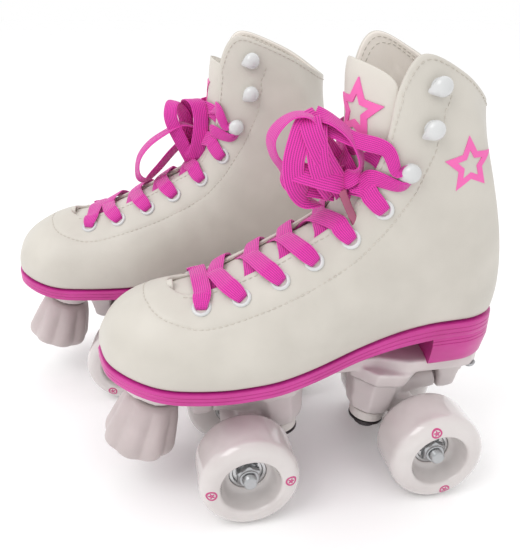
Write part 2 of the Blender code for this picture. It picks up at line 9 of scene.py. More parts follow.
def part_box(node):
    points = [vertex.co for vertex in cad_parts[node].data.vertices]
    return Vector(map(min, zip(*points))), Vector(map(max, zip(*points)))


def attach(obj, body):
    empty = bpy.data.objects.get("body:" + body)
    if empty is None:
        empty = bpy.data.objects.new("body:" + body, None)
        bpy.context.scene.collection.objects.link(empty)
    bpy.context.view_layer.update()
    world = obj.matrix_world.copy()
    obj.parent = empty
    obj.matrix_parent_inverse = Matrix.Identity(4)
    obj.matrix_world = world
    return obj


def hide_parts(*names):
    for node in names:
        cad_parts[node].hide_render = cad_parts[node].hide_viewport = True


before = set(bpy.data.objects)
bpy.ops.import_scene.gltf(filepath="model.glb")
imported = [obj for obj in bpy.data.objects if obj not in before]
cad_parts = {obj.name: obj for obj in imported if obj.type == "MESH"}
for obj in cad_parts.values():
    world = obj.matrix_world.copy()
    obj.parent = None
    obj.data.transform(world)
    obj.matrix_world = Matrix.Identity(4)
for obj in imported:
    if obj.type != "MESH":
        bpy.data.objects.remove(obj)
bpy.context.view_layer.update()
mm = 0.001
scene = bpy.context.scene


def linear(hexText):
    # sRGB hex to the linear values that shaders take
    parts = [int(hexText[i:i + 2], 16) / 255 for i in (1, 3, 5)]
    return [p / 12.92 if p <= 0.04045 else ((p + 0.055) / 1.055) ** 2.4 for p in parts] + [1.0]


def addNode(tree, kind, settings=None, **inputs):
    # inputs are named by their labels, or in0, in1 and so on where labels repeat
    node = tree.nodes.new(kind)
    for name, value in (settings or {}).items():
        setattr(node, name, value)
    for name, value in inputs.items():
        numbered = name.startswith("in") and name[2:].isdigit()
        socket = node.inputs[int(name[2:]) if numbered else name]
        if isinstance(value, bpy.types.NodeSocket):
            tree.links.new(value, socket)
        else:
            socket.default_value = value
    return node


def smoothstep(value, low, high):
    t = min(max((value - low) / (high - low), 0.0), 1.0)
    return t * t * (3.0 - 2.0 * t)


def spline(points, position):
    # Catmull-Rom through equal-length tuples, the position counted in points
    last = len(points) - 1
    i = min(int(position), last - 1)
    t = position - i
    a, b, c, d = (points[min(max(k, 0), last)] for k in (i - 1, i, i + 1, i + 2))
    return tuple(
        0.5 * (2 * q + (r - p) * t + (2 * p - 5 * q + 4 * r - s) * t ** 2 + (3 * q - p - 3 * r + s) * t ** 3)
        for p, q, r, s in zip(a, b, c, d)
    )


def bezier(ends, t):
    a, b, c, d = (Vector(p) for p in ends)
    s = 1.0 - t
    return a * s ** 3 + b * (3 * s * s * t) + c * (3 * s * t * t) + d * t ** 3


def circle(count):
    # unit directions round a circle
    angles = [2 * math.pi * i / count for i in range(count)]
    return [(math.cos(angle), math.sin(angle)) for angle in angles]


def ring(radius, height, count):
    return [Vector((radius * c, radius * s, height)) for c, s in circle(count)]


def steps(start, end, count):
    return [start + (end - start) * i / count for i in range(count + 1)]


def mirrored(points):
    return [Vector((-p.x, p.y, p.z)) for p in points]


def addObject(name, data):
    made = bpy.data.objects.new(name, data)
    scene.collection.objects.link(made)
    return made


def boxMiddle(node):
    low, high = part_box(node)
    return (low + high) / 2


def readSkate(name, side, collar):
    # a skate's own frame: origin on the floor midway between its axles, toe towards -Y
    front, rear = boxMiddle(name + "_front_axle"), boxMiddle(name + "_rear_axle")
    along = rear - front
    middle = (front + rear) / 2
    middle.z = 0.0
    turn = math.atan2(-along.x, along.y)
    return {
        "name": name,
        "side": side,
        "collar": collar,
        "matrix": Matrix.Translation(middle) @ Matrix.Rotation(turn, 4, "Z"),
        "axleHeight": front.z / mm,
        "halfBase": along.length / 2 / mm,
    }


leftSkate = readSkate("left", 1, 0.0)
rightSkate = readSkate("right", -1, 9.0)
# how the soft parts of each boot have settled, in mm
leftSkate.update(flapForward=5.0, flapRise=7.0, tongueBack=0.0, tongueDrop=0.0)
rightSkate.update(flapForward=3.0, flapRise=0.0, tongueBack=7.0, tongueDrop=11.0)

cameraSettings = {
    "place": (306.86, -104.46, 281.23),  # mm, in the left skate's frame
    "azimuth": 78.58,
    "elevation": 25.07,
    "roll": 0.54,
    "lens": 40.05,
}


def makeCamera(values):
    data = bpy.data.cameras.new("mainCamera")
    camera = addObject("mainCamera", data)
    data.lens = values["lens"]
    data.sensor_width = 36
    azimuth, elevation = math.radians(values["azimuth"]), math.radians(values["elevation"])
    back = Vector((
        math.sin(azimuth) * math.cos(elevation),
        -math.cos(azimuth) * math.cos(elevation),
        math.sin(elevation),
    ))
    turned = back.to_track_quat("Z", "Y").to_matrix().to_4x4()
    roll = Matrix.Rotation(math.radians(values["roll"]), 4, "Z")
    place = leftSkate["matrix"] @ (Vector(values["place"]) * mm)
    camera.matrix_world = Matrix.Translation(place) @ turned @ roll
    data.clip_start = 0.01
    scene.camera = camera


makeCamera(cameraSettings)
print("camera placed")


# materials: sizes in their textures are in metres, and a noise scale counts per metre


def newMaterial(name, hexText, roughness, metallic=0.0, **sockets):
    material = bpy.data.materials.new(name)
    material.use_nodes = True
    tree = material.node_tree
    shader = tree.nodes["Principled BSDF"]
    shader.inputs["Base Color"].default_value = linear(hexText)
    shader.inputs["Roughness"].default_value = roughness
    shader.inputs["Metallic"].default_value = metallic
    for label, value in sockets.items():
        shader.inputs[label.replace("_", " ")].default_value = value
    material.diffuse_color = linear(hexText)
    return material, tree, shader


def objectCoords(tree):
    return addNode(tree, "ShaderNodeTexCoord").outputs["Object"]


def noiseOf(tree, vector, perMetre, detail):
    return addNode(tree, "ShaderNodeTexNoise", Vector=vector, Scale=perMetre, Detail=detail)


def maths(tree, operation, *values):
    # a math node's result; the values are numbers or sockets
    inputs = {"in" + str(i): value for i, value in enumerate(values)}
    return addNode(tree, "ShaderNodeMath", {"operation": operation}, **inputs).outputs[0]


def tint(tree, shader, factor, lowHex, highHex, low=0.35, high=0.65):
    ramp = addNode(tree, "ShaderNodeValToRGB", Fac=factor)
    ramp.color_ramp.elements[0].position = low
    ramp.color_ramp.elements[0].color = linear(lowHex)
    ramp.color_ramp.elements[1].position = high
    ramp.color_ramp.elements[1].color = linear(highHex)
    tree.links.new(ramp.outputs["Color"], shader.inputs["Base Color"])
    return ramp


def varyRoughness(tree, shader, factor, low, high):
    spread = addNode(tree, "ShaderNodeMapRange", Value=factor)
    spread.inputs["To Min"].default_value = low
    spread.inputs["To Max"].default_value = high
    tree.links.new(spread.outputs["Result"], shader.inputs["Roughness"])


def bump(tree, shader, height, strength, depth, before=None):
    node = addNode(tree, "ShaderNodeBump", Strength=strength, Distance=depth, Height=height)
    if before is not None:
        tree.links.new(before.outputs["Normal"], node.inputs["Normal"])
    tree.links.new(node.outputs["Normal"], shader.inputs["Normal"])
    return node


def leatherMaterial(name, lowHex, highHex, roughness):
    # polyurethane coated synthetic leather: a smooth satin film with a very fine pore
    material, tree, shader = newMaterial(name, highHex, roughness, Coat_Weight=0.12, Coat_Roughness=0.42)
    place = objectCoords(tree)
    blotch = noiseOf(tree, place, 26, 3)
    tint(tree, shader, blotch.outputs["Fac"], lowHex, highHex)
    varyRoughness(tree, shader, blotch.outputs["Fac"], roughness - 0.05, roughness + 0.07)
    pore = addNode(tree, "ShaderNodeTexVoronoi", Vector=place, Scale=1300)  # 0.8 mm pores
    first = bump(tree, shader, pore.outputs["Distance"], 0.16, 0.00012)
    crease = noiseOf(tree, place, 170, 3)
    bump(tree, shader, crease.outputs["Fac"], 0.22, 0.0005, first)
    return material


def knitMaterial(name, lowHex, highHex):
    # brushed knit lining, stitches about 1 mm apart
    material, tree, shader = newMaterial(name, highHex, 0.88, Sheen_Weight=0.25, Sheen_Roughness=0.6)
    place = objectCoords(tree)
    fuzz = noiseOf(tree, place, 420, 4)
    tint(tree, shader, fuzz.outputs["Fac"], lowHex, highHex)
    loops = addNode(tree, "ShaderNodeTexVoronoi", Vector=place, Scale=1000)
    bump(tree, shader, loops.outputs["Distance"], 0.5, 0.0004)
    return material


# pitches in mm
webbing = {"ribPitch": 1.15, "weftPitch": 0.95, "slant": 0.9, "weftShare": 0.45, "reach": 1.45}


def webbingMaterial(name, lowHex, highHex):
    # flat woven polyester lace: lengthwise ribs crossed by a slanting weft
    # UV: x is millimetres along the lace, y millimetres across it
    material, tree, shader = newMaterial(name, highHex, 0.62, Sheen_Weight=0.3, Sheen_Roughness=0.45)
    uv = addNode(tree, "ShaderNodeTexCoord").outputs["UV"]
    axes = addNode(tree, "ShaderNodeSeparateXYZ", Vector=uv)
    along, across = axes.outputs["X"], axes.outputs["Y"]
    ribPhase = maths(tree, "MULTIPLY", across, 2 * math.pi / webbing["ribPitch"])
    rib = maths(tree, "COSINE", ribPhase)
    zigzag = maths(tree, "PINGPONG", across, webbing["ribPitch"])
    slant = maths(tree, "MULTIPLY_ADD", zigzag, webbing["slant"], along)
    weftPhase = maths(tree, "MULTIPLY", slant, 2 * math.pi / webbing["weftPitch"])
    weft = maths(tree, "COSINE", weftPhase)
    height = maths(tree, "MULTIPLY_ADD", weft, webbing["weftShare"], rib)
    level = addNode(tree, "ShaderNodeMapRange", Value=height)
    level.inputs["From Min"].default_value = -webbing["reach"]
    level.inputs["From Max"].default_value = webbing["reach"]
    # the colour follows the weave's height and is darker in its low points: painted shade in the hollows of
    # the weave
    tint(tree, shader, level.outputs["Result"], lowHex, highHex, 0.05, 0.55)
    bump(tree, shader, level.outputs["Result"], 0.75, 0.0004)
    return material


def mouldedMaterial(name, lowHex, highHex, roughness, pit, **sockets):
    # injection moulded part: even colour, faint flow marks and a fine spark-eroded skin
    material, tree, shader = newMaterial(name, highHex, roughness, **sockets)
    place = objectCoords(tree)
    flow = noiseOf(tree, place, 32, 3)
    tint(tree, shader, flow.outputs["Fac"], lowHex, highHex)
    varyRoughness(tree, shader, flow.outputs["Fac"], roughness - 0.04, roughness + 0.06)
    skin = noiseOf(tree, place, 1500, 2)
    bump(tree, shader, skin.outputs["Fac"], pit, 0.0001)
    return material


def steelMaterial(name, hexText, roughness, streaks):
    # turned or plated steel: fine tool marks vary the gloss
    material, tree, shader = newMaterial(name, hexText, roughness, 1.0)
    place = objectCoords(tree)
    marks = noiseOf(tree, place, 700, 3)
    varyRoughness(tree, shader, marks.outputs["Fac"], roughness * 0.7, roughness * 1.5)
    bump(tree, shader, marks.outputs["Fac"], streaks, 0.00005)
    return material


bootLeather = leatherMaterial("coated_leather_white", "#C0BBB2", "#CAC5BC", 0.44)
# the lining is tinted lighter than the outer leather: painted light that lifts the shade inside the boot and
# under the flaps
innerLeather = leatherMaterial("lining_leather_ivory", "#ECE4DB", "#F2EBE3", 0.5)
tongueLeather = leatherMaterial("tongue_leather_white", "#C6C1B8", "#D0CBC2", 0.46)
liningKnit = knitMaterial("brushed_lining_knit", "#B9B4AC", "#D2CDC5")
laceWebbing = webbingMaterial("woven_lace_magenta", "#8E0A66", "#E42BAC")
soleRubber = mouldedMaterial("sole_rubber_magenta", "#B4217F", "#C42E90", 0.36, 0.12, Coat_Weight=0.2)
stopRubber = mouldedMaterial("stop_rubber_white", "#B5A9A8", "#C2B6B5", 0.40, 0.16, Coat_Weight=0.1)
wheelUrethane = mouldedMaterial(
    "cast_urethane_white", "#C8C1BF", "#D2CCCA", 0.14, 0.03, Coat_Weight=0.8, Coat_Roughness=0.06,
)
plateNylon = mouldedMaterial("moulded_nylon_white", "#C9BFBF", "#D6CDCC", 0.34, 0.14)
cushionRubber = mouldedMaterial("cushion_urethane_white", "#CFC8C4", "#DED8D4", 0.45, 0.12)
chromeSteel = steelMaterial("polished_bearing_steel", "#C9CACB", 0.16, 0.08)
zincSteel = steelMaterial("zinc_plated_steel", "#B4B6B8", 0.28, 0.2)
darkSteel = steelMaterial("blackened_steel", "#4A4648", 0.38, 0.2)
whiteEnamel = mouldedMaterial(
    "baked_enamel_white", "#C6C7C7", "#D0D1D1", 0.22, 0.06, Coat_Weight=0.6, Coat_Roughness=0.1,
)
thread = mouldedMaterial("polyester_thread_ivory", "#BDB7AC", "#CCC6BC", 0.7, 0.3)
pinkInk = mouldedMaterial("screen_print_pink", "#E45DA9", "#EC6AB2", 0.45, 0.05)
rubineInk = mouldedMaterial("pad_print_rubine", "#BC3F78", "#C84C85", 0.4, 0.05)
agletFilm = mouldedMaterial("aglet_film_plum", "#8F3B5C", "#A34A6C", 0.25, 0.05, Coat_Weight=0.5)
print("materials made")


def placed(skate, points):
    # skate frame in mm to the world in metres
    flat = np.asarray(points, float) * np.array([skate["side"] * mm, mm, mm])
    turned = np.array(skate["matrix"])
    return flat @ turned[:3, :3].T + turned[:3, 3]


def makePiece(name, points, faces, materials, skate=None, uvs=None):
    # points are in a skate's frame in mm, or in the world in metres with no skate
    if skate is not None:
        points = placed(skate, points)
        if skate["side"] < 0:
            faces = [tuple(reversed(f)) for f in faces]
            if uvs is not None:
                uvs = [list(reversed(u)) for u in uvs]
    mesh = bpy.data.meshes.new(name)
    mesh.from_pydata([tuple(p) for p in points], [], faces)
    for material in materials:
        mesh.materials.append(material)
    if uvs is not None:
        layer = mesh.uv_layers.new(name="along")
        layer.data.foreach_set("uv", [c for face in uvs for corner in face for c in corner])
    mesh.shade_smooth()
    mesh.update()
    return addObject(name, mesh)


def grid(rows, closedAcross=False):
    # skins equal rows of points
    points = [p for row in rows for p in row]
    n = len(rows[0])
    faces = []
    for r in range(len(rows) - 1):
        for i in range(n if closedAcross else n - 1):
            j = (i + 1) % n
            faces.append((r * n + i, r * n + j, (r + 1) * n + j, (r + 1) * n + i))
    return points, faces


def finish(piece, body, replaced=()):
    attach(piece, body)
    if replaced:
        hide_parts(*replaced)
    return piece


def finishOnSkate(skate, piece, slot, *nodes):
    # a piece fixed to its skate, in place of these of the skate's nodes
    name = skate["name"]
    return finish(piece, name + "_skate", [name + "_" + node for node in nodes])


def applyModifiers(piece):
    graph = bpy.context.evaluated_depsgraph_get()
    mesh = bpy.data.meshes.new_from_object(piece.evaluated_get(graph))
    piece.modifiers.clear()
    old = piece.data
    piece.data = mesh
    bpy.data.meshes.remove(old)
    return piece


def subdivided(piece):
    finer = piece.modifiers.new("finer", "SUBSURF")
    finer.levels = finer.render_levels = 1
    return applyModifiers(piece)


def facingOut(piece, sharp=None):
    # welds doubled points, turns the faces outwards and shades them; creases above an angle stay sharp
    bm = bmesh.new()
    bm.from_mesh(piece.data)
    bmesh.ops.remove_doubles(bm, verts=bm.verts, dist=0.002 * mm)
    bmesh.ops.recalc_face_normals(bm, faces=bm.faces)
    bm.to_mesh(piece.data)
    bm.free()
    piece.data.shade_smooth()
    if sharp is not None:
        piece.data.set_sharp_from_angle(angle=math.radians(sharp))


def lathe(profile, count):
    # (radius, height) pairs turned about Z, the axis points closed by fans
    points, faces, rings = [], [], []
    for radius, height in profile:
        if radius < 1e-6:
            rings.append([len(points)])
            points.append((0.0, 0.0, height))
            continue
        rings.append(range(len(points), len(points) + count))
        points += [(radius * c, radius * s, height) for c, s in circle(count)]
    for low, high in zip(rings, rings[1:]):
        for i in range(count):
            j = (i + 1) % count
            a, b = low[i % len(low)], low[j % len(low)]
            c, d = high[j % len(high)], high[i % len(high)]
            face = list(dict.fromkeys((a, b, c, d)))
            if len(face) > 2:
                faces.append(tuple(face))
    return points, faces


def arc(centre, radius, start, end, count):
    # points of an arc in a profile, angles in degrees
    angles = [math.radians(angle) for angle in steps(start, end, count)]
    return [(centre[0] + radius * math.cos(a), centre[1] + radius * math.sin(a)) for a in angles]


def pieceAt(matrix, name, points, faces, material):
    # a piece from points in mm along the matrix's own axes
    return makePiece(name, [matrix @ (Vector(p) * mm) for p in points], faces, [material])


def turned(name, profile, count, matrix, material, closed=False):
    # a lathe shape with its Z along the matrix's Z
    points, faces = lathe(profile + profile[:1] if closed else profile, count)
    piece = pieceAt(matrix, name, points, faces, material)
    facingOut(piece, 32)
    return piece


def axisMatrix(skate, place, direction):
    # local Z along a direction, both given in the skate's frame (mm)
    side = skate["side"]
    spot = skate["matrix"] @ (Vector((place[0] * side, place[1], place[2])) * mm)
    heading = skate["matrix"].to_3x3() @ Vector((direction[0] * side, direction[1], direction[2]))
    return Matrix.Translation(spot) @ heading.to_track_quat("Z", "Y").to_matrix().to_4x4()


# node trees for what repeats: stitches, eyelets, hooks and screws


def inputSocket(tree, label, kind, value=None):
    socket = tree.interface.new_socket(label, in_out="INPUT", socket_type=kind)
    if value is not None:
        socket.default_value = value
    return socket.identifier


def stitchTree():
    # dashes of thread laid end to end along a curve
    tree = bpy.data.node_groups.new("stitchRow", "GeometryNodeTree")
    inputSocket(tree, "Seam", "NodeSocketGeometry")
    names = {
        "pitch": inputSocket(tree, "Pitch", "NodeSocketFloat", 3.0 * mm),
        "length": inputSocket(tree, "Stitch Length", "NodeSocketFloat", 2.2 * mm),
        "width": inputSocket(tree, "Thread Width", "NodeSocketFloat", 0.6 * mm),
        "material": inputSocket(tree, "Material", "NodeSocketMaterial"),
    }
    tree.interface.new_socket("Stitches", in_out="OUTPUT", socket_type="NodeSocketGeometry")
    given = addNode(tree, "NodeGroupInput").outputs
    rows = addNode(
        tree, "GeometryNodeCurveToPoints", {"mode": "LENGTH"}, Curve=given["Seam"], Length=given["Pitch"],
    )
    half = maths(tree, "MULTIPLY", given["Stitch Length"], 0.5)
    halfWidth = maths(tree, "MULTIPLY", given["Thread Width"], 0.5)
    size = addNode(tree, "ShaderNodeCombineXYZ", X=halfWidth, Y=halfWidth, Z=half)
    turn = addNode(tree, "FunctionNodeAlignRotationToVector", {"axis": "Z"}, Vector=rows.outputs["Tangent"])
    grain = addNode(tree, "GeometryNodeMeshUVSphere", Segments=6, Rings=5, Radius=1.0)
    laid = addNode(
        tree, "GeometryNodeInstanceOnPoints", Points=rows.outputs["Points"],
        Instance=grain.outputs["Mesh"], Rotation=turn.outputs["Rotation"], Scale=size.outputs["Vector"],
    )
    real = addNode(tree, "GeometryNodeRealizeInstances", Geometry=laid.outputs["Instances"])
    soft = addNode(tree, "GeometryNodeSetShadeSmooth", Geometry=real.outputs["Geometry"])
    painted = addNode(
        tree, "GeometryNodeSetMaterial", Geometry=soft.outputs["Geometry"], Material=given["Material"],
    )
    addNode(tree, "NodeGroupOutput", Stitches=painted.outputs["Geometry"])
    return tree, names


def studTree():
    # one shape set on every point, its Z along "facing" and its X along "heading"
    tree = bpy.data.node_groups.new("studRow", "GeometryNodeTree")
    inputSocket(tree, "Points", "NodeSocketGeometry")
    names = {
        "shape": inputSocket(tree, "Shape", "NodeSocketObject"),
        "material": inputSocket(tree, "Material", "NodeSocketMaterial"),
    }
    tree.interface.new_socket("Studs", in_out="OUTPUT", socket_type="NodeSocketGeometry")
    given = addNode(tree, "NodeGroupInput").outputs
    vector = {"data_type": "FLOAT_VECTOR"}
    facing = addNode(tree, "GeometryNodeInputNamedAttribute", vector, Name="facing")
    heading = addNode(tree, "GeometryNodeInputNamedAttribute", vector, Name="heading")
    first = addNode(
        tree, "FunctionNodeAlignRotationToVector", {"axis": "Z"}, Vector=facing.outputs["Attribute"],
    )
    second = addNode(
        tree, "FunctionNodeAlignRotationToVector", {"axis": "X", "pivot_axis": "Z"},
        Rotation=first.outputs["Rotation"], Vector=heading.outputs["Attribute"],
    )
    shape = addNode(tree, "GeometryNodeObjectInfo", Object=given["Shape"])
    laid = addNode(
        tree, "GeometryNodeInstanceOnPoints", Points=given["Points"],
        Instance=shape.outputs["Geometry"], Rotation=second.outputs["Rotation"],
    )
    real = addNode(tree, "GeometryNodeRealizeInstances", Geometry=laid.outputs["Instances"])
    painted = addNode(
        tree, "GeometryNodeSetMaterial", Geometry=real.outputs["Geometry"], Material=given["Material"],
    )
    addNode(tree, "NodeGroupOutput", Studs=painted.outputs["Geometry"])
    return tree, names


stitchNodes, stitchInputs = stitchTree()
studNodes, studInputs = studTree()


def meshFromNodes(name, source, tree, names, values):
    # runs a node tree on an object and keeps the result as a plain mesh
    modifier = source.modifiers.new("rows", "NODES")
    modifier.node_group = tree
    for label, value in values.items():
        modifier[names[label]] = value
    bpy.context.view_layer.update()
    graph = bpy.context.evaluated_depsgraph_get()
    mesh = bpy.data.meshes.new_from_object(source.evaluated_get(graph))
    mesh.name = name
    piece = addObject(name, mesh)
    data = source.data
    bpy.data.objects.remove(source)
    (bpy.data.curves if isinstance(data, bpy.types.Curve) else bpy.data.meshes).remove(data)
    return piece


def stitchRows(name, lines, values, material):
    # lines of world points; one curve object with a spline for each row
    curve = bpy.data.curves.new(name, "CURVE")
    curve.dimensions = "3D"
    for line in lines:
        row = curve.splines.new("POLY")
        row.points.add(len(line) - 1)
        row.points.foreach_set("co", [c for p in line for c in (*p, 1.0)])
    source = addObject(name + "_seam", curve)
    sizes = {label: values[label] * mm for label in ("pitch", "length", "width")}
    return meshFromNodes(name, source, stitchNodes, stitchInputs, {**sizes, "material": material})


def studs(name, shape, spots, material):
    # spots are (place, facing, heading) in world metres
    mesh = bpy.data.meshes.new(name + "_points")
    mesh.from_pydata([tuple(s[0]) for s in spots], [], [])
    for label, k in (("facing", 1), ("heading", 2)):
        layer = mesh.attributes.new(label, "FLOAT_VECTOR", "POINT")
        layer.data.foreach_set("vector", [c for s in spots for c in s[k]])
    source = addObject(name + "_spots", mesh)
    return meshFromNodes(name, source, studNodes, studInputs, {"shape": shape, "material": material})


print("node trees ready")


# the boot is the surface that everything on it follows
boot = {
    "soleBallTop": 88.0,
    "toeRise": 7.5,
    "toeRiseFrom": -90.0,
    "toeRiseLength": 44.5,
    "heelRise": 20.0,
    "heelRiseFrom": -45.0,
    "heelRiseTo": 62.0,
    "upperLift": 0.8,
    "wall": 2.4,
    "columnStep": 0.125,
    "rowsBelowSeam": 15,
    "rowsAboveSeam": 9,
    "seamDepth": 0.55,
    "rowsBesideSeam": 0.016,
    "toeInwards": 4.0,
    "waistHollow": 0.10,
}

# from the middle of the toe round the outer side to the middle of the heel:
# sole (x, y), two handles (x, y, z) and the top edge (x, y, z), in mm
bootRibs = [
    ((0, -134.5), (0, -137, 113), (0, -122, 129), (0, -94, 135)),
    ((21, -128.0), (24, -131, 112), (16, -116, 128), (7, -92.5, 134.5)),
    ((37.5, -106.0), (42, -108, 109), (30, -101, 126), (11.5, -86, 133)),
    ((43, -76.0), (49, -78, 105), (37, -78, 122), (13.5, -74, 135)),
    ((42, -48.0), (49, -48, 107), (39, -50, 129), (15.5, -50, 144.5)),
    ((36.5, -20.0), (45, -20, 112), (36, -23, 139), (15.5, -25, 157)),
    ((31, 6.0), (40, 6, 118), (32, 0, 154), (15, -1, 173)),
    ((28.5, 30.0), (37, 31, 128), (32, 12, 172), (20, 9, 192)),
    ((28, 50.0), (36, 50, 140), (35, 26, 192), (27, 14, 214)),
    ((27.5, 66.0), (36, 68, 148), (36, 42, 215), (28, 18, 240)),
    ((26, 79.0), (34, 84, 150), (35, 53, 225), (27.5, 29, 255)),
    ((20, 90.5), (26, 97, 146), (32, 68, 210), (26, 52, 246)),
    ((11, 97.0), (14, 102, 142), (19, 75, 190), (15, 71, 233)),
    ((0, 99.0), (0, 104, 140), (0, 74, 188), (0, 77, 229)),
]
lastRib = len(bootRibs) - 1

# the seam that runs round the vamp and up behind the hooks: rib, height up the rib
seamCourse = [
    (-1.0, 0.81), (0.0, 0.82), (1.0, 0.79), (1.9, 0.71), (2.8, 0.672), (4.0, 0.685), (5.5, 0.68),
    (7.0, 0.665), (8.2, 0.68), (8.9, 0.71), (9.4, 0.75), (9.8, 0.79), (10.2, 0.83), (11.5, 0.84),
    (14.0, 0.84),
]
seamEnd = 10.1


def courseHeight(course, rib):
    # height of a seam at a rib, eased between the course's points
    for (a, low), (b, high) in zip(course, course[1:]):
        if a <= rib <= b and b - a < 0.6:
            return low + (high - low) * smoothstep(rib, a, b)
        if a <= rib <= b:
            return low + (high - low) * (rib - a) / (b - a)
    return course[-1][1]


def soleTop(y):
    # height of the sole's upper face along the foot
    toe = max((boot["toeRiseFrom"] - y) / boot["toeRiseLength"], 0.0)
    heel = smoothstep(y, boot["heelRiseFrom"], boot["heelRiseTo"])
    return boot["soleBallTop"] + boot["toeRise"] * toe * toe + boot["heelRise"] * heel


def footBend(skate, point):
    # toe and waist lean inwards, and the inner flap stands higher and further forward
    x, y, z = point
    if x < 0.0:
        flap = smoothstep(z, 195.0, 255.0) * smoothstep(-x, 5.0, 25.0)
        y -= skate["flapForward"] * flap
        z += skate["flapRise"] * flap
    low = 1.0 - smoothstep(z, 105.0, 150.0)
    x -= boot["toeInwards"] * smoothstep(-y, 60.0, 134.0) * low
    if x < 0.0:
        x *= 1.0 - boot["waistHollow"] * low * math.exp(-(((y - 5.0) / 32.0) ** 2))
    return Vector((x, y, z))


def opened(point, collar):
    # a deeper collar reaches further back
    reach = collar * smoothstep(point.y, 25.0, 70.0) * smoothstep(point.z, 110.0, 215.0)
    return Vector((point.x, point.y + reach, point.z))


def bootPoint(skate, rib, height, inner=False):
    # a point of the boot's outer face; past either end the loop goes on round the other side
    if rib < 0.0:
        rib, inner = -rib, not inner
    if rib > lastRib:
        rib, inner = 2 * lastRib - rib, not inner
    sole = spline([r[0] for r in bootRibs], rib)
    handles = [spline([r[k] for r in bootRibs], rib) for k in (1, 2, 3)]
    point = bezier([(sole[0], sole[1], soleTop(sole[1]) + boot["upperLift"])] + handles, height)
    if inner:
        point.x = -point.x
    return opened(footBend(skate, point), skate["collar"])


def bootNormal(skate, rib, height, inner=False):
    step = 0.02
    height = min(max(height, step), 1.0 - step)
    around = bootPoint(skate, rib + step, height, inner) - bootPoint(skate, rib - step, height, inner)
    up = bootPoint(skate, rib, height + step, inner) - bootPoint(skate, rib, height - step, inner)
    normal = around.cross(up)
    return normal.normalized() * (-1.0 if inner else 1.0)


def lifted(skate, rib, height, inner=False, lift=0.0):
    return bootPoint(skate, rib, height, inner) + bootNormal(skate, rib, height, inner) * lift


def bootLoop():
    # (rib, inner) for every column: the outer side from toe to heel, then back along the inner side
    count = round(lastRib / boot["columnStep"])
    ribs = [lastRib * i / count for i in range(count + 1)]
    return [(r, False) for r in ribs] + [(r, True) for r in ribs[-2:0:-1]]


def rowHeights(rib):
    # heights up one column, with three rows on the seam
    seam = courseHeight(seamCourse, rib)
    below = [seam * (i / boot["rowsBelowSeam"]) for i in range(boot["rowsBelowSeam"])]
    above = [seam + (1.0 - seam) * i / boot["rowsAboveSeam"] for i in range(1, boot["rowsAboveSeam"] + 1)]
    below[-1] = seam - boot["rowsBesideSeam"]
    above[0] = seam + boot["rowsBesideSeam"]
    return below + [seam] + above


def upperDent(rib, height, inner):
    # soft creases where the boot flexes, and a slight fullness at the ankle bone
    flex = math.exp(-((rib - 5.4) / 0.9) ** 2) * smoothstep(height, 0.15, 0.45)
    flex *= 1.0 - smoothstep(height, 0.62, 0.8)
    waves = math.sin(rib * 9.0 + height * 7.0) * 0.35 * flex
    ankle = 0.9 * math.exp(-((rib - 9.6) / 1.1) ** 2 - ((height - 0.42) / 0.14) ** 2)
    return waves + ankle * (0.6 if inner else 1.0)


def makeUpper(skate):
    loop = bootLoop()
    columns = [rowHeights(rib) for rib, inner in loop]
    seamRow = boot["rowsBelowSeam"]
    rows = []
    for k in range(len(columns[0])):
        row = []
        for (rib, inner), heights in zip(loop, columns):
            depth = boot["seamDepth"] if k == seamRow and rib < seamEnd + 0.05 else 0.0
            row.append(lifted(skate, rib, heights[k], inner, upperDent(rib, heights[k], inner) - depth))
        rows.append(row)
    points, faces = grid(rows, closedAcross=True)
    piece = makePiece(skate["name"] + "_boot_shell", points, faces, [bootLeather, innerLeather], skate)
    wall = piece.modifiers.new("wall", "SOLIDIFY")
    wall.thickness = boot["wall"] * mm
    wall.offset = -1.0
    wall.use_even_offset = True
    wall.material_offset = 1
    wall.material_offset_rim = 0
    subdivided(piece)
    return finishOnSkate(skate, piece, "boot_leather", "upper")


# a stitch's pitch, length and width, and how far the rows stand in from the top edge, in mm
stitching = {"pitch": 3.3, "length": 2.4, "width": 0.62, "edge": 3.2, "collar": (3.4, 6.4), "lastRib": 12.95}


def seamLine(skate, ribs, heightAt, inner, lift):
    return placed(skate, [lifted(skate, r, heightAt(r), inner, lift) for r in ribs])


def belowEdge(skate, rib, inner, distance):
    # height up a rib that is a given distance below the top edge
    height = 1.0
    edge = bootPoint(skate, rib, 1.0, inner)
    while height > 0.5 and (bootPoint(skate, rib, height, inner) - edge).length < distance:
        height -= 0.01
    return height


def makeStitches(skate):
    def seamHeight(rib):
        return courseHeight(seamCourse, rib)

    def edgeLine(firstRib, count, inner, distance, lift):
        # a row at one distance below the top edge, back to the heel
        ribs = steps(firstRib, stitching["lastRib"], count)
        return seamLine(skate, ribs, lambda rib: belowEdge(skate, rib, inner, distance), inner, lift)

    ground = -boot["seamDepth"] + 0.3
    outerSeam = seamLine(skate, steps(0.0, seamEnd, 120), seamHeight, False, ground)
    innerSeam = seamLine(skate, steps(seamEnd, 0.0, 120), seamHeight, True, ground)
    lines = [np.concatenate([innerSeam, outerSeam[1:]])]
    for inner in (False, True):
        lines.append(edgeLine(2.2, 150, inner, stitching["edge"], 0.12))
        for distance in stitching["collar"]:
            lines.append(edgeLine(9.0, 70, inner, distance, -boot["wall"] - 0.1))
    name = skate["name"] + "_boot_stitching"
    piece = stitchRows(name, lines, stitching, thread)
    return finishOnSkate(skate, piece, "stitch_thread")


for skate in (leftSkate, rightSkate):
    makeUpper(skate)
    makeStitches(skate)
print("boots made")


# tongue
tongue = {"thickness": 5.0, "across": 22, "along": 70, "crown": 1.3, "topRound": 13.0}

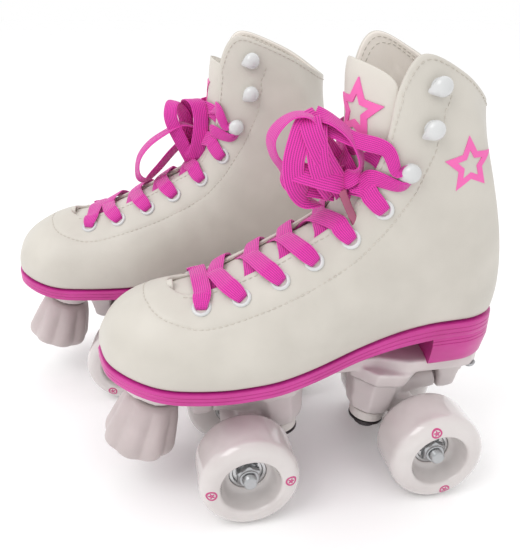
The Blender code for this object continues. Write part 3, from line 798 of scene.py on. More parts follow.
# y, z of its outer face down the middle, half width, and how far its sides fall back
tongueLine = [
    (-102, 129.6, 12, 1.4),
    (-86, 131.8, 14.5, 1.6),
    (-70, 134.4, 16.5, 2.0),
    (-50, 142.4, 19.5, 2.6),
    (-30, 152.2, 19.5, 3.4),
    (-13, 161.0, 19.5, 5.2),
    (-1, 175.2, 20.5, 8.6),
    (3.5, 195.0, 22.5, 12.6),
    (3, 216.0, 25, 15.0),
    (2, 236.0, 25.5, 15.5),
    (1.5, 251.5, 25, 13.0),
]


def tongueFrame(position):
    last = len(tongueLine) - 1.0
    y, z, half, fall = spline(tongueLine, position)
    ahead = spline(tongueLine, min(position + 0.05, last))
    behind = spline(tongueLine, max(position - 0.05, 0.0))
    along = Vector((0.0, ahead[0] - behind[0], ahead[1] - behind[1])).normalized()
    return y, z, half, fall, Vector((0.0, along.z, -along.y))


def tonguePoint(position, share, lift=0.0):
    # share runs from -1 to 1 across the tongue; lift is outwards
    y, z, half, fall, inward = tongueFrame(position)
    return Vector((half * share, y, z)) + inward * (fall * share * share - lift)


def settled(skate, p):
    # the tongue's upper part sags back and down on one boot
    share = smoothstep(p.z, 180.0, 252.0)
    return Vector((p.x, p.y + skate["tongueBack"] * share, p.z - skate["tongueDrop"] * share))


def tongueTop():
    return len(tongueLine) - 1.0


def makeTongue(skate):
    top = tongueTop()
    n = tongue["across"]
    rings = []
    for k in range(tongue["along"] + 1):
        position = top * k / tongue["along"]
        z = tongueFrame(position)[1]
        # the top end closes in a half round
        fromTop = (spline(tongueLine, top)[1] - z) / tongue["topRound"]
        width = math.sqrt(max(1.0 - max(1.0 - fromTop, 0.0) ** 2, 0.0)) if fromTop < 1.0 else 1.0
        width = max(width, 0.03)
        front, back = [], []
        for i in range(n + 1):
            share = math.sin(math.pi * (i / n - 0.5))
            edge = math.sqrt(max(1.0 - share * share, 0.0))
            crown = tongue["crown"] * edge * min(fromTop * 1.5, 1.0)
            thick = tongue["thickness"] * (0.25 + 0.75 * edge) * max(min(fromTop * 2.0, 1.0), 0.25)
            front.append(tonguePoint(position, share * width, crown - 0.6))
            back.append(tonguePoint(position, share * width, -thick))
        rings.append(front + back[::-1])
    rings = [[settled(skate, p) for p in ring] for ring in rings]
    points, faces = grid(rings, closedAcross=True)
    count = 2 * (n + 1)
    faces.append(tuple(range(count))[::-1])
    faces.append(tuple(range(len(points) - count, len(points))))
    piece = makePiece(skate["name"] + "_tongue_pad", points, faces, [tongueLeather], skate)
    facingOut(piece)
    subdivided(piece)
    finishOnSkate(skate, piece, "tongue_leather", "tongue")
    return piece


for skate in (leftSkate, rightSkate):
    makeTongue(skate)
print("tongues made")


# sole and footbed
sole = {
    "bottom": 80.7,
    "bandThickness": 7.3,
    "waistExtra": 2.2,
    "heelFrontY": 54.0,
    "breastHollow": 4.0,
    "heelOverlap": 1.2,
    "overhang": 1.2,
    "heelTaper": 0.14,
    "heelTaperFrom": 9.5,
    "insoleInset": 3.4,
    "insoleThickness": 4.0,
}


def soleOutline(rib):
    return Vector((*spline([r[0] for r in bootRibs], rib), 0.0))


def soleEdge(rib, grow):
    # the sole's outline in plan, moved outwards
    step = 0.02
    here = soleOutline(rib)
    before = soleOutline(max(rib - step, 0.0))
    after = soleOutline(min(rib + step, float(lastRib)))
    along = (after - before).normalized()
    if rib in (0.0, float(lastRib)):
        along = Vector((1.0 if rib == 0.0 else -1.0, 0.0, 0.0))
    return here + Vector((along.y, -along.x, 0.0)) * grow


def bandUnderside(y):
    return soleTop(y) - sole["bandThickness"] - sole["waistExtra"] * smoothstep(y, 0.0, 47.0)


def ribAt(y):
    # the rib at which the sole's outline reaches y
    low, high = 0.0, float(lastRib)
    for _ in range(40):
        middle = 0.5 * (low + high)
        low, high = (middle, high) if spline([r[0] for r in bootRibs], middle)[1] < y else (low, middle)
    return low


# share of the way down from the top edge, and how far the row stands in
bandRows = [
    (0.0, 0.9), (0.03, 0.3), (0.10, 0.0), (0.30, 0.0), (0.34, 0.35), (0.38, 0.0), (0.60, 0.0),
    (0.64, 0.35), (0.68, 0.0), (0.90, 0.0), (0.97, 0.3), (1.0, 0.9),
]
heelRows = [
    (0.0, 0.9), (0.01, 0.3), (0.04, 0.0), (0.115, 0.0), (0.13, 0.35), (0.145, 0.0), (0.23, 0.0),
    (0.245, 0.35), (0.26, 0.0), (0.34, 0.0), (0.6, 0.0), (0.8, 0.0), (0.93, 0.0), (0.98, 0.3), (1.0, 1.0),
]


def stripFaces(halfCount, count, start=0):
    # faces across a loop whose two halves mirror each other
    strips = [(i, i + 1, (count - i - 1) % count, (count - i) % count) for i in range(halfCount - 1)]
    return [tuple(dict.fromkeys(start + k for k in strip)) for strip in strips]


def sideRows(skate, ribs, rowSet, topAt, bottomAt, growAt, join):
    # rows of a slab's side wall, each a closed loop of the foot's outline; join closes a half loop
    rows = []
    for share, inset in rowSet:
        half = []
        for rib in ribs:
            y = soleEdge(rib, 0.0).y
            edge = soleEdge(rib, growAt(y, share) - inset)
            half.append(Vector((edge.x, edge.y, topAt(y) + (bottomAt(y) - topAt(y)) * share)))
        rows.append([footBend(skate, p) for p in join(half)])
    return rows


def makeSole(skate):
    # the band runs the whole length, and the heel block hangs under it
    def heelTop(y):
        return bandUnderside(y) + sole["heelOverlap"]

    def heelBottom(y):
        return sole["bottom"]

    def bandJoin(half):
        return half + mirrored(half[-2:0:-1])

    def heelJoin(half):
        # the breast of the heel is hollowed towards the back
        x, y, z = half[0]
        hollow = sole["breastHollow"]
        breast = [Vector((-x * s, y + hollow * (1 - s * s), z)) for s in (0.8, 0.5, 0.2, -0.2, -0.5, -0.8)]
        return half + mirrored(half[-2::-1]) + breast

    def heelGrow(y, share):
        drop = (soleTop(y) - sole["bottom"]) * share
        return sole["overhang"] - sole["heelTaper"] * max(drop - sole["heelTaperFrom"], 0.0)

    def bandGrow(y, share):
        return sole["overhang"]

    bandRibs = steps(0.0, float(lastRib), 110)
    bandSides = sideRows(skate, bandRibs, bandRows, soleTop, bandUnderside, bandGrow, bandJoin)
    points, faces = grid(bandSides, closedAcross=True)
    n = len(bandSides[0])
    faces += stripFaces(len(bandRibs), n)
    faces += [strip[::-1] for strip in stripFaces(len(bandRibs), n, len(points) - n)]
    heelRibs = steps(ribAt(sole["heelFrontY"]), float(lastRib), 46)
    heelSides = sideRows(skate, heelRibs, heelRows, heelTop, heelBottom, heelGrow, heelJoin)
    heelPoints, heelFaces = grid(heelSides, closedAcross=True)
    m = len(heelSides[0])
    heelFaces += [tuple(range(m)), tuple(range(len(heelPoints) - m, len(heelPoints)))[::-1]]
    faces += [tuple(len(points) + i for i in face) for face in heelFaces]
    piece = makePiece(skate["name"] + "_sole_unit", points + heelPoints, faces, [soleRubber], skate)
    facingOut(piece, 38)
    return finishOnSkate(skate, piece, "outsole_rubber", "outsole")


def makeFootbed(skate):
    # a knit-covered insole, dished under the foot
    rows = []
    ribs = steps(0.0, float(lastRib), 60)
    gap = 0.3
    for share in (0.0, 0.25, 0.5, 0.75, 0.92, 1.0):
        half = []
        for rib in ribs:
            edge = soleEdge(rib, -sole["insoleInset"])
            dish = -1.4 * (1 - (1 - share) ** 2) * smoothstep(edge.y, -60.0, 60.0)
            middleY = min(max(edge.y, -120.0), 86.0)
            x, y = edge.x * (1 - share), edge.y + (middleY - edge.y) * share
            lip = 0.8 if share == 0.0 else 0.0
            half.append(Vector((x, y, soleTop(y) + gap + sole["insoleThickness"] + dish - lip)))
        rows.append([footBend(skate, p) for p in half + mirrored(half[-2:0:-1])])
    under = [Vector((p.x, p.y, soleTop(p.y) + gap)) for p in rows[0]]
    points, faces = grid([under] + rows, closedAcross=True)
    faces += stripFaces(len(ribs), len(under))
    piece = makePiece(skate["name"] + "_footbed", points, faces, [liningKnit], skate)
    facingOut(piece)
    return finishOnSkate(skate, piece, "insole_lining", "insole")


for skate in (leftSkate, rightSkate):
    makeSole(skate)
    makeFootbed(skate)
print("soles made")


# eyelets and hooks
# rib and height of each pair, from the toe up
eyeletSpots = [(2.87, 0.86), (3.72, 0.85), (4.51, 0.85), (5.23, 0.85), (6.08, 0.82), (7.25, 0.77)]
hookSpots = [(8.23, 0.77), (9.15, 0.78), (9.86, 0.865)]
eyelet = {"hole": 3.2, "outer": 5.4, "height": 0.95}
hook = {"cap": 4.9, "capHeight": 4.0, "neck": 2.1, "stand": 3.2, "foot": 4.4}


def surfaceSpot(skate, rib, height, inner, lift=0.0, towards=None):
    # (place, facing, heading) in the world; heading points down the boot unless towards is given
    place = lifted(skate, rib, height, inner, lift)
    normal = bootNormal(skate, rib, height, inner)
    aim = towards if towards is not None else bootPoint(skate, rib, height - 0.05, inner)
    heading = aim - place
    side = skate["side"]
    turn = skate["matrix"].to_3x3()
    world = [turn @ Vector((v.x * side, v.y, v.z)) for v in (normal, heading)]
    return placed(skate, [place])[0], world[0], world[1].normalized()


def eyeletShape():
    # a rolled metal ring: flange, rounded lip and a short barrel into the hole
    h, r, t = eyelet["hole"], eyelet["outer"], eyelet["height"]
    middle = (h + r) / 2
    profile = [(h, -3.0), (h, 0.0)]
    profile += arc((middle, 0.0), (r - h) / 2, 180, 0, 10)[1:]
    profile = [(x, y * t / ((r - h) / 2) if y > 0 else y) for x, y in profile]
    profile += [(r, -0.3), (h + 0.5, -0.3), (h + 0.5, -3.0)]
    return turned("eyeletShape", profile, 32, Matrix.Identity(4), whiteEnamel, closed=True)


def hookShape():
    # a speed hook: foot, neck, domed cap, and a beak curled forward over the lace
    foot, neck, cap = hook["foot"], hook["neck"], hook["cap"]
    stand, rise = hook["stand"], hook["capHeight"]
    profile = [(0.0, -0.4), (foot, -0.4), (foot, 0.3), (foot - 0.5, 0.7), (neck + 0.5, 0.8), (neck, 1.4)]
    profile += [(neck, stand - 0.6), (neck + 0.8, stand - 0.1), (cap - 0.6, stand - 0.1)]
    profile += [(x * cap, stand + 0.4 + y * (rise - 0.4)) for x, y in arc((0, 0), 1.0, 0, 90, 9)]
    profile[-1] = (0.0, profile[-1][1])
    points, faces = lathe(profile, 28)
    shaped = []
    for x, y, z in points:
        # the front of the cap stretches into a beak that dips towards the boot
        share = max(x / cap, 0.0) ** 9 * smoothstep(z, stand - 0.4, stand + 0.3)
        shaped.append(Vector((x + 2.0 * share, y, z - 2.4 * share)) * mm)
    piece = makePiece("hookShape", shaped, faces, [whiteEnamel])
    facingOut(piece, 50)
    return piece


def makeHardware(skate):
    rings, hooks = [], []
    for inner in (False, True):
        for rib, height in eyeletSpots:
            rings.append(surfaceSpot(skate, rib, height, inner, 0.2))
        for rib, height in hookSpots:
            # the beak points to the front edge and a little down
            aim = bootPoint(skate, rib - 1.1, height + 0.12, inner)
            hooks.append(surfaceSpot(skate, rib, height, inner, 0.1, aim))
    for name, shape, spots in (("_eyelets", ringShape, rings), ("_lace_hooks", hookPiece, hooks)):
        finishOnSkate(skate, studs(skate["name"] + name, shape, spots, whiteEnamel), "eyelet_enamel")


ringShape, hookPiece = eyeletShape(), hookShape()
for skate in (leftSkate, rightSkate):
    makeHardware(skate)
for shape in (ringShape, hookPiece):
    bpy.data.objects.remove(shape)
print("eyelets and hooks set")


# laces
lace = {"width": 9.8, "thickness": 1.3, "holeWidth": 5.8, "across": 8, "stepsPerSpan": 8}


def ribbonMesh(course, thickness, stepsPerSpan):
    # course: (x, y, z, face x, face y, face z, width) tuples; the flat side turns to the face vector
    count = (len(course) - 1) * stepsPerSpan
    samples = [spline(course, (len(course) - 1) * i / count) for i in range(count + 1)]
    centres = [Vector(s[:3]) for s in samples]
    n = lace["across"]
    shares = [math.sin(math.pi * (k / n - 0.5)) for k in range(n + 1)]
    outline = [(s, 1) for s in shares] + [(s, -1) for s in shares[::-1]]
    rows, along, travelled = [], [], 0.0
    for i, sample in enumerate(samples):
        ahead, behind = centres[min(i + 1, count)], centres[max(i - 1, 0)]
        tangent = (ahead - behind).normalized()
        face = Vector(sample[3:6])
        face = (face - tangent * face.dot(tangent)).normalized()
        across = tangent.cross(face)
        width = sample[6]
        if i:
            travelled += (centres[i] - centres[i - 1]).length
        end = 0.35 if i in (0, count) else 1.0
        row = []
        for s, side in outline:
            bulge = thickness / 2 * end * math.sqrt(max(1 - s ** 4, 0.02))
            row.append(centres[i] + across * (s * width / 2) + face * (bulge * side))
        rows.append(row)
        along.append(travelled)
    points, faces = grid(rows, closedAcross=True)
    size = len(outline)
    uvs = []
    for r in range(len(rows) - 1):
        for i in range(size):
            j = (i + 1) % size
            corners = ((r, i), (r, j), (r + 1, j), (r + 1, i))
            uvs.append([(along[a], outline[b][0] * lace["width"] / 2) for a, b in corners])
    for row, over in ((0, True), (len(rows) - 1, False)):
        cap = list(range(row * size, row * size + size))
        faces.append(tuple(cap[::-1] if over else cap))
        uvs.append([(along[row], 0.0)] * size)
    return points, faces, uvs, travelled


def tongueNear(point):
    # the position down the tongue whose middle line is nearest to a point
    def distance(position):
        return (Vector(spline(tongueLine, position)[:2]) - Vector((point.y, point.z))).length

    step = 0.02
    return min((i * step for i in range(int(tongueTop() / step))), key=distance)


def faceOf(point, face, width):
    return (*point, *face.normalized(), width)


def flapSpots(skate, spot, other, inner, share):
    # an eyelet's place and normal, then those of the flap's edge where its strap passes
    rib = spot[0] + (other[0] - spot[0]) * share
    return (
        bootPoint(skate, *spot, inner), bootNormal(skate, *spot, inner),
        bootPoint(skate, rib, 0.985, inner), bootNormal(skate, rib, 0.96, inner),
    )


def overFlap(skate, spot, other, inner, rise):
    # a strap's end from the throat over the flap and down into its eyelet, in that order
    hole, normal, edge, edgeNormal = flapSpots(skate, spot, other, inner, 0.30)
    inward = (edge - hole).normalized()
    return [
        faceOf(edge + edgeNormal * (1.4 + rise), edgeNormal + Vector((0, -0.2, 0.3)), lace["width"]),
        faceOf(hole.lerp(edge, 0.62) + normal * (2.5 + rise), normal, lace["width"]),
        faceOf(hole + normal * 2.7 + inward * 2.6, normal - inward * 0.25, lace["width"] - 0.9),
        faceOf(hole + normal * 1.5 - inward * 0.6, normal * 0.7 - inward, lace["holeWidth"] + 1.0),
        faceOf(hole - normal * 2.2 - inward * 1.0, -inward, lace["holeWidth"]),
    ], edge


def underFlap(skate, spot, other, inner):
    # a strap's end from inside its eyelet out from beneath the flap
    hole, normal, edge, edgeNormal = flapSpots(skate, spot, other, inner, 0.32)
    depth = boot["wall"] + 0.9
    return [
        faceOf(hole - normal * depth, normal, lace["width"] - 2.0),
        faceOf(edge - edgeNormal * (depth - 0.2), edgeNormal + Vector((0, -0.2, 0.3)), lace["width"]),
    ], edge


def overTongue(edgeA, edgeB, rise):
    # where a strap passes the middle of the throat
    middle = (edgeA + edgeB) / 2
    spot = tongueNear(middle)
    inward = tongueFrame(spot)[4]
    floor = tonguePoint(spot, 0.0, tongue["crown"] + 0.9)
    gap = (middle - floor).dot(-inward)
    centre = middle if gap > 0 else middle + inward * gap
    return faceOf(centre - inward * rise, -inward, lace["width"])


def crossing(skate, start, end, fromInner, rise):
    # a strap from beneath one flap, over the tongue and the other flap, into the next eyelet up
    first, edgeA = underFlap(skate, start, end, fromInner)
    last, edgeB = overFlap(skate, end, start, not fromInner, rise)
    return first + [overTongue(edgeA, edgeB, 1.0 + rise)] + last


def addStrap(store, course):
    points, faces, uvs, length = ribbonMesh(course, lace["thickness"], lace["stepsPerSpan"])
    start = len(store["points"])
    store["points"] += points
    store["faces"] += [tuple(start + i for i in f) for f in faces]
    store["uvs"] += uvs
    store["length"] += length


def emptyStore():
    return {"points": [], "faces": [], "uvs": [], "length": 0.0}


def makeLacing(skate):
    store = emptyStore()
    # a straight bar through the lowest pair, then crosses up to the hooks
    low = eyeletSpots[0]
    lowOuter, edgeA = overFlap(skate, low, low, False, 0.0)
    lowInner, edgeB = overFlap(skate, low, low, True, 0.0)
    addStrap(store, lowOuter[::-1] + [overTongue(edgeA, edgeB, 1.6)] + lowInner)
    for i in range(5):
        for fromInner, rise in ((False, 0.0), (True, 0.7)):
            addStrap(store, crossing(skate, eyeletSpots[i], eyeletSpots[i + 1], fromInner, rise))
    for inner in (False, True):
        addStrap(store, hookRun(skate, inner))
    for course in bowCourses[skate["name"]]:
        addStrap(store, course)
    if skate["name"] in aglets:
        tip = emptyStore()
        addStrap(tip, handCourse(aglets[skate["name"]], towardsEye, 4.2))
        film = makePiece(skate["name"] + "_aglet", tip["points"], tip["faces"], [agletFilm], skate)
        finishOnSkate(skate, film, "lace_webbing")
    piece = makePiece(
        skate["name"] + "_lace", store["points"], store["faces"], [laceWebbing], skate, uvs=store["uvs"]
    )
    finishOnSkate(skate, piece, "lace_webbing", "laces")
    print(skate["name"], "lace seen, mm:", round(store["length"]))
    return piece


# places in mm: the tipped lace end, and the strands that run up to the lowest hook and on to the bow
aglets = {"left": [(19, -4, 188), (20, -1, 181), (20, 3, 173), (21, 6, 167)]}
lowerStrands = {"left": (16, 4, 190), "right": (13, 9, 191)}
strandCourses = {
    "left": [(19, 1, 214), (9, -13, 220)],
    "right": [(13, 10, 208), (4, 0, 205)],
}


def edgePass(skate, rib, inner, width):
    # where a strand lies over the flap's front edge
    normal = bootNormal(skate, rib, 0.95, inner)
    return faceOf(bootPoint(skate, rib, 0.97, inner) + normal * 1.9, normal, width)


def hookRun(skate, inner):
    # from the top eyelet of one side over the tongue, round the other side's lowest hook, to the knot
    eye, post = eyeletSpots[5], hookSpots[0]
    sign = -1 if inner else 1
    first = crossing(skate, eye, post, not inner, 0.0)[:3]
    x, y, z = lowerStrands[skate["name"]]
    first.append(faceOf(Vector((x * sign, y, z)), Vector((0.72 * sign, -0.3, 0.6)), 9.4))
    first.append(edgePass(skate, 7.25, inner, 8.6))
    place = bootPoint(skate, *post, inner)
    normal = bootNormal(skate, *post, inner)
    up = bootPoint(skate, post[0], post[1] + 0.04, inner) - place
    up = (up - normal * up.dot(normal)).normalized()
    back = normal.cross(up)
    back = -back if back.y < 0 else back
    front = -back
    centre = place + normal * 2.4
    wrap = [
        faceOf(centre + front * 7 - up * 3.9 + normal * 0.2, normal - up * 0.5, 6.6),
        faceOf(centre - up * 3.3 + normal * 0.1, -up + normal * 0.3, 4.2),
        faceOf(centre + back * 3.2, back, 3.4),
        faceOf(centre + up * 3.3 + normal * 0.1, up + normal * 0.3, 4.2),
        faceOf(centre + front * 6 + up * 3.9 + normal * 0.6, normal + up * 0.5, 5.6),
    ]
    wrap.append(edgePass(skate, 7.95, inner, 7.4))
    for (x, y, z), width in zip(strandCourses[skate["name"]], (8.6, 9.6)):
        wrap.append(faceOf(Vector((x * sign, y, z)), Vector((0.62 * sign, -0.35, 0.7)), width))
    return first + wrap


def ringCourse(centre, axis, radius, width):
    # a strap wound once round an axis, as in the middle of a knot
    side = axis.cross(Vector((0.3, 0.2, 1.0))).normalized()
    other = axis.cross(side).normalized()
    course = []
    for i in range(9):
        angle = math.radians(45 * i)
        out = side * math.cos(angle) + other * math.sin(angle)
        course.append(faceOf(centre + out * radius + axis * (i - 4) * 0.25, out, width))
    return course


def handCourse(points, faceVector, width=10.4):
    # a course from given points; three more numbers give a point its own face direction
    course = []
    for p in points:
        face = Vector(p[3:6]) if len(p) >= 6 else Vector(faceVector)
        course.append(faceOf(Vector(p[:3]), face, width))
    return course


towardsEye = (0.87, -0.2, 0.45)
bowCourses = {
    "left": [
        handCourse([
            (6, -4, 201), (10, -13, 215, 0.6, 0.4, 0.7), (11, -19, 224, 0.2, 0.2, 1),
            (9, -27, 225, 0.1, -0.3, 1), (6, -34, 220, 0.2, -0.8, 0.6), (3, -38, 212, 0.3, -1, 0.1),
            (2, -36, 203, 0.3, -0.9, -0.4), (3, -30, 195, 0.5, -0.4, -0.8), (5, -27, 189, 0.8, -0.4, 0.1),
            (8, -17, 187), (8, -4, 184),
        ], towardsEye),
        handCourse([
            (12, -21, 224, 0.1, -0.3, 1), (17, -20, 217), (18, -15, 206), (16, -7, 194), (11, 0, 184),
        ], towardsEye, 10.8),
        handCourse([
            (8, -15, 224), (13, -23, 221), (15, -27, 212), (15, -29, 201), (14, -27, 190),
            (10, -21, 182, 0.7, -0.3, 0.5), (4, -13, 178, 0.4, -0.3, 0.8),
        ], towardsEye, 11.0),
        handCourse([
            (8, -16, 224), (16, -18, 216), (18, -17, 204), (17, -13, 193), (11, -6, 184),
        ], towardsEye, 11.0),
        handCourse([
            (8, -17, 225), (13, -10, 223, 0.5, 0.1, 0.9), (17, -2, 217, 0.6, 0.6, 0.6),
            (20, 3, 209, 0.6, 0.8, 0.2), (20, 5, 201, 0.6, 0.8, -0.2), (17, 1, 194), (13, -5, 190),
        ], towardsEye, 9.0),
        handCourse([
            (10, -31, 199), (15, -24, 197), (18, -13, 194), (17, -4, 191), (10, 2, 187),
        ], towardsEye, 11.0),
        ringCourse(Vector((7, -7, 199)), Vector((0.35, 0.55, 0.75)).normalized(), 5.8, 10.0),
    ],
    "right": [
        handCourse([
            (-6, -6, 171), (-10, -12, 185), (-12, -18, 200), (-10, -18, 209, -0.5, -0.3, 0.9),
            (-4, -15, 211, 0.1, 0.2, 1), (0, -10, 201, 0.9, 0.3, 0.2), (0, -7, 184, 0.9, 0.1, -0.4),
            (-2, -5, 172),
        ], (-0.85, -0.35, 0.35), 10.0),
        handCourse([
            (-8, -4, 172), (-14, 0, 186), (-15, 2, 200), (-12, 0, 211, -0.6, 0.1, 0.8),
            (-5, -6, 212, 0.1, 0.2, 1), (2, -9, 199, 0.9, 0.1, 0.3), (0, -7, 183, 0.9, 0.1, -0.3),
            (-2, -4, 172),
        ], (-0.9, 0.1, 0.35), 10.0),
        handCourse([
            (-6, -2, 194, 0, -0.3, 1), (-8, -11, 197, -0.1, -0.1, 1), (-9, -22, 192, -0.2, -0.5, 0.9),
            (-9, -34, 184, -0.3, -0.7, 0.8), (-8, -42, 174, -0.3, -1, 0.2), (-6, -44, 163, -0.4, -0.9, -0.4),
            (-2, -40, 156, -0.6, 0.2, -0.9), (2, -31, 163, -0.6, 0.6, -0.7), (3, -20, 175, -0.6, 0.6, -0.7),
            (0, -8, 187, -0.5, 0.5, -0.6),
        ], (-0.9, -0.2, 0.4), 10.4),
        ringCourse(Vector((-4, -5, 179)), Vector((-0.3, 0.45, 0.8)).normalized(), 5.8, 10.0),
    ],
}

for skate in (leftSkate, rightSkate):
    makeLacing(skate)
print("laces tied")


# printed marks: plain stars, laid on the leather
mark = {"points": 5, "inner": 0.5, "hole": 0.52, "stepsPerEdge": 8, "high": 0.42, "low": -0.3}


def starOutline(radius, turn):
    corners = []
    for i in range(2 * mark["points"]):
        reach = radius if i % 2 == 0 else radius * mark["inner"]
        angle = turn + math.pi * i / mark["points"]
        corners.append(Vector((reach * math.sin(angle), reach * math.cos(angle))))
    outline = []
    for i, corner in enumerate(corners):
        after = corners[(i + 1) % len(corners)]
        outline += [corner.lerp(after, k / mark["stepsPerEdge"]) for k in range(mark["stepsPerEdge"])]
    return outline


def onSurface(surface, start, target, right, up):
    # (u, v) whose point lies at target (mm right, mm up) from the start, by Newton's method
    u, v = start
    origin = surface(u, v, 0.0)
    for _ in range(8):
        here = surface(u, v, 0.0) - origin
        du = (surface(u + 0.01, v, 0.0) - origin - here) / 0.01
        dv = (surface(u, v + 0.01, 0.0) - origin - here) / 0.01
        a, b, c, d = du.dot(right), dv.dot(right), du.dot(up), dv.dot(up)
        e, f = target[0] - here.dot(right), target[1] - here.dot(up)
        det = a * d - b * c
        u, v = u + (e * d - b * f) / det, v + (a * f - e * c) / det
    return u, v


def starMark(name, skate, surface, start, up, radius, turn=0.0):
    # a star outline with a little thickness; up is roughly the star's upward direction
    u, v = start
    du = surface(u + 0.01, v, 0.0) - surface(u, v, 0.0)
    dv = surface(u, v + 0.01, 0.0) - surface(u, v, 0.0)
    normal = du.cross(dv).normalized()
    up = (up - normal * up.dot(normal)).normalized()
    right = up.cross(normal).normalized()
    loops = []
    rows = [(1.0, "low"), (1.0, "high"), (0.84, "high"), (0.68, "high")]
    rows += [(mark["hole"], "high"), (mark["hole"], "low")]
    for share, lift in rows:
        loop = []
        for spot in starOutline(radius, turn):
            place = onSurface(surface, start, spot * share, right, up)
            loop.append(surface(*place, mark[lift]))
        loops.append(loop)
    points, faces = grid(loops + loops[:1], closedAcross=True)
    piece = makePiece(name, points, faces, [pinkInk], skate)
    facingOut(piece, 40)
    return finishOnSkate(skate, piece, "printed_mark")


for skate in (leftSkate, rightSkate):
    starMark(
        skate["name"] + "_ankle_star", skate,
        lambda u, v, lift: lifted(skate, u * 3, v, False, lift),
        (9.95 / 3, 0.60), Vector((0, -0.25, 1)), 14.5, 0.1,
    )
    starMark(
        skate["name"] + "_tongue_star", skate,
        lambda u, v, lift: settled(skate, tonguePoint(u * 3, v, lift + tongue["crown"] * 0.7)),
        (tongueTop() / 3 - 0.5, 0.36), Vector((0, 0, 1)), 16.5, -0.1,
    )
print("marks laid")


# castings: plate and trucks
casting = {"plateVoxel": 1.15, "truckVoxel": 1.0, "smoothing": 5, "cupSides": 8}
kingpin = {"lean": 8.0, "fromMiddle": 32.0, "height": 48.0, "ballRadius": 16.3}

# (radius, height) profiles along the kingpin
skirtProfile = [(20.9, 14.6), (22.6, 14.6), (25.8, 25.0), (12.0, 25.0), (12.0, 22.4), (21.8, 22.0)]
cupProfile = [
    (9.0, -10.5), (14.8, -10.5), (17.0, -3.0), (17.6, 4.0), (19.4, 13.6), (16.2, 13.6), (15.6, 10.8),
    (9.0, 8.0),
]
kingpinProfile = [
    (0.0, 31.0), (4.4, 31.0), (4.4, -19.3), (10.6, -19.3), (11.2, -19.6), (11.2, -20.5), (10.6, -20.8),
    (7.0, -20.8), (7.2, -24.6), (6.6, -25.2), (4.6, -25.3), (4.2, -26.4), (3.8, -26.8), (0.0, -26.8),
]


def nodeCopy(node):
    piece = addObject(node + "_copy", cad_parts[node].data.copy())
    facingOut(piece)
    return piece


def kingpinMatrix(skate, node):
    # Z along the kingpin, the origin in the middle of its ball joint
    end = -1 if "front" in node else 1
    lean = math.radians(kingpin["lean"])
    place = (0.0, end * kingpin["fromMiddle"], kingpin["height"])
    return axisMatrix(skate, place, (0.0, end * math.sin(lean), math.cos(lean)))


def facetedRing(name, profile, matrix, sides):
    # a closed ring with flat sides round the kingpin
    points, faces = lathe(profile + profile[:1], sides)
    twist = Matrix.Rotation(math.pi / sides, 4, "Z")
    piece = pieceAt(matrix @ twist, name, points, faces, plateNylon)
    facingOut(piece)
    return piece


def merged(name, pieces, material):
    # one object in place of several
    bm = bmesh.new()
    for piece in pieces:
        bm.from_mesh(piece.data)
    mesh = bpy.data.meshes.new(name)
    bm.to_mesh(mesh)
    bm.free()
    for piece in pieces:
        bpy.data.objects.remove(piece)
    mesh.materials.append(material)
    mesh.polygons.foreach_set("material_index", [0] * len(mesh.polygons))
    return addObject(name, mesh)


def moulded(name, parts, voxel):
    # melts closed shapes into one casting with small fillets
    piece = merged(name, parts, plateNylon)
    remesh = piece.modifiers.new("remesh", "REMESH")
    remesh.mode = "VOXEL"
    remesh.voxel_size = voxel * mm
    remesh.use_smooth_shade = True
    smooth = piece.modifiers.new("smooth", "SMOOTH")
    smooth.factor = 0.5
    smooth.iterations = casting["smoothing"]
    applyModifiers(piece)
    piece.data.shade_smooth()
    return piece


def makeCastings(skate):
    name = skate["name"]
    sides = casting["cupSides"]
    skirts = []
    for end in ("front", "rear"):
        matrix = kingpinMatrix(skate, end)
        skirts.append(facetedRing("skirt", skirtProfile, matrix, sides))
        cup = facetedRing("cup", cupProfile, matrix, sides)
        node = name + "_" + end + "_truck"
        truck = moulded(node + "_casting", [nodeCopy(node), cup], casting["truckVoxel"])
        finish(truck, name + "_" + end + "_steering", [node])
    plate = moulded(name + "_plate_casting", [nodeCopy(name + "_plate")] + skirts, casting["plateVoxel"])
    finishOnSkate(skate, plate, "plate_nylon", "plate")


def makeKingpins(skate):
    ball = kingpin["ballRadius"]
    seat = [(r, math.sqrt(ball ** 2 - r * r)) for r in (4.9, 6.5, 8.0, 9.5, 10.4)]
    cushion = seat + [(11.0, 12.9), (11.5, 15.6), (11.0, 18.4), (10.2, 19.0), (4.9, 19.0)]
    for end in ("front", "rear"):
        matrix = kingpinMatrix(skate, end)
        label = skate["name"] + "_" + end
        for place, sign in (("_upper", 1), ("_lower", -1)):
            profile = [(r, sign * z) for r, z in cushion]
            shape = turned(label + place + "_bushing", profile, 48, matrix, cushionRubber, closed=True)
            finishOnSkate(skate, shape, "cushion_rubber", end + place + "_cushion")
        pin = turned(label + "_kingpin_fine", kingpinProfile, 48, matrix, darkSteel)
        finishOnSkate(skate, pin, "axle_steel", end + "_kingpin")


for skate in (leftSkate, rightSkate):
    makeCastings(skate)
    makeKingpins(skate)
print("trucks cast")


# wheels, bearings, axles and nuts
wheel = {"radius": 29.0, "half": 17.0, "edge": 7.5, "lip": 18.6, "steps": 112, "bore": 11.1, "floor": 4.2}
wheel.update(fromMiddle=36.25, roundelReach=22.6)
# where each wheel's first roundel stands, in degrees from the back of the skate upwards
wheelMarks = {
    "left_front_outer": 4, "left_rear_outer": 104, "right_front_outer": 40, "right_rear_outer": 12,
    "left_front_inner": 20, "left_rear_inner": 75, "right_front_inner": 60, "right_rear_inner": 130,
}


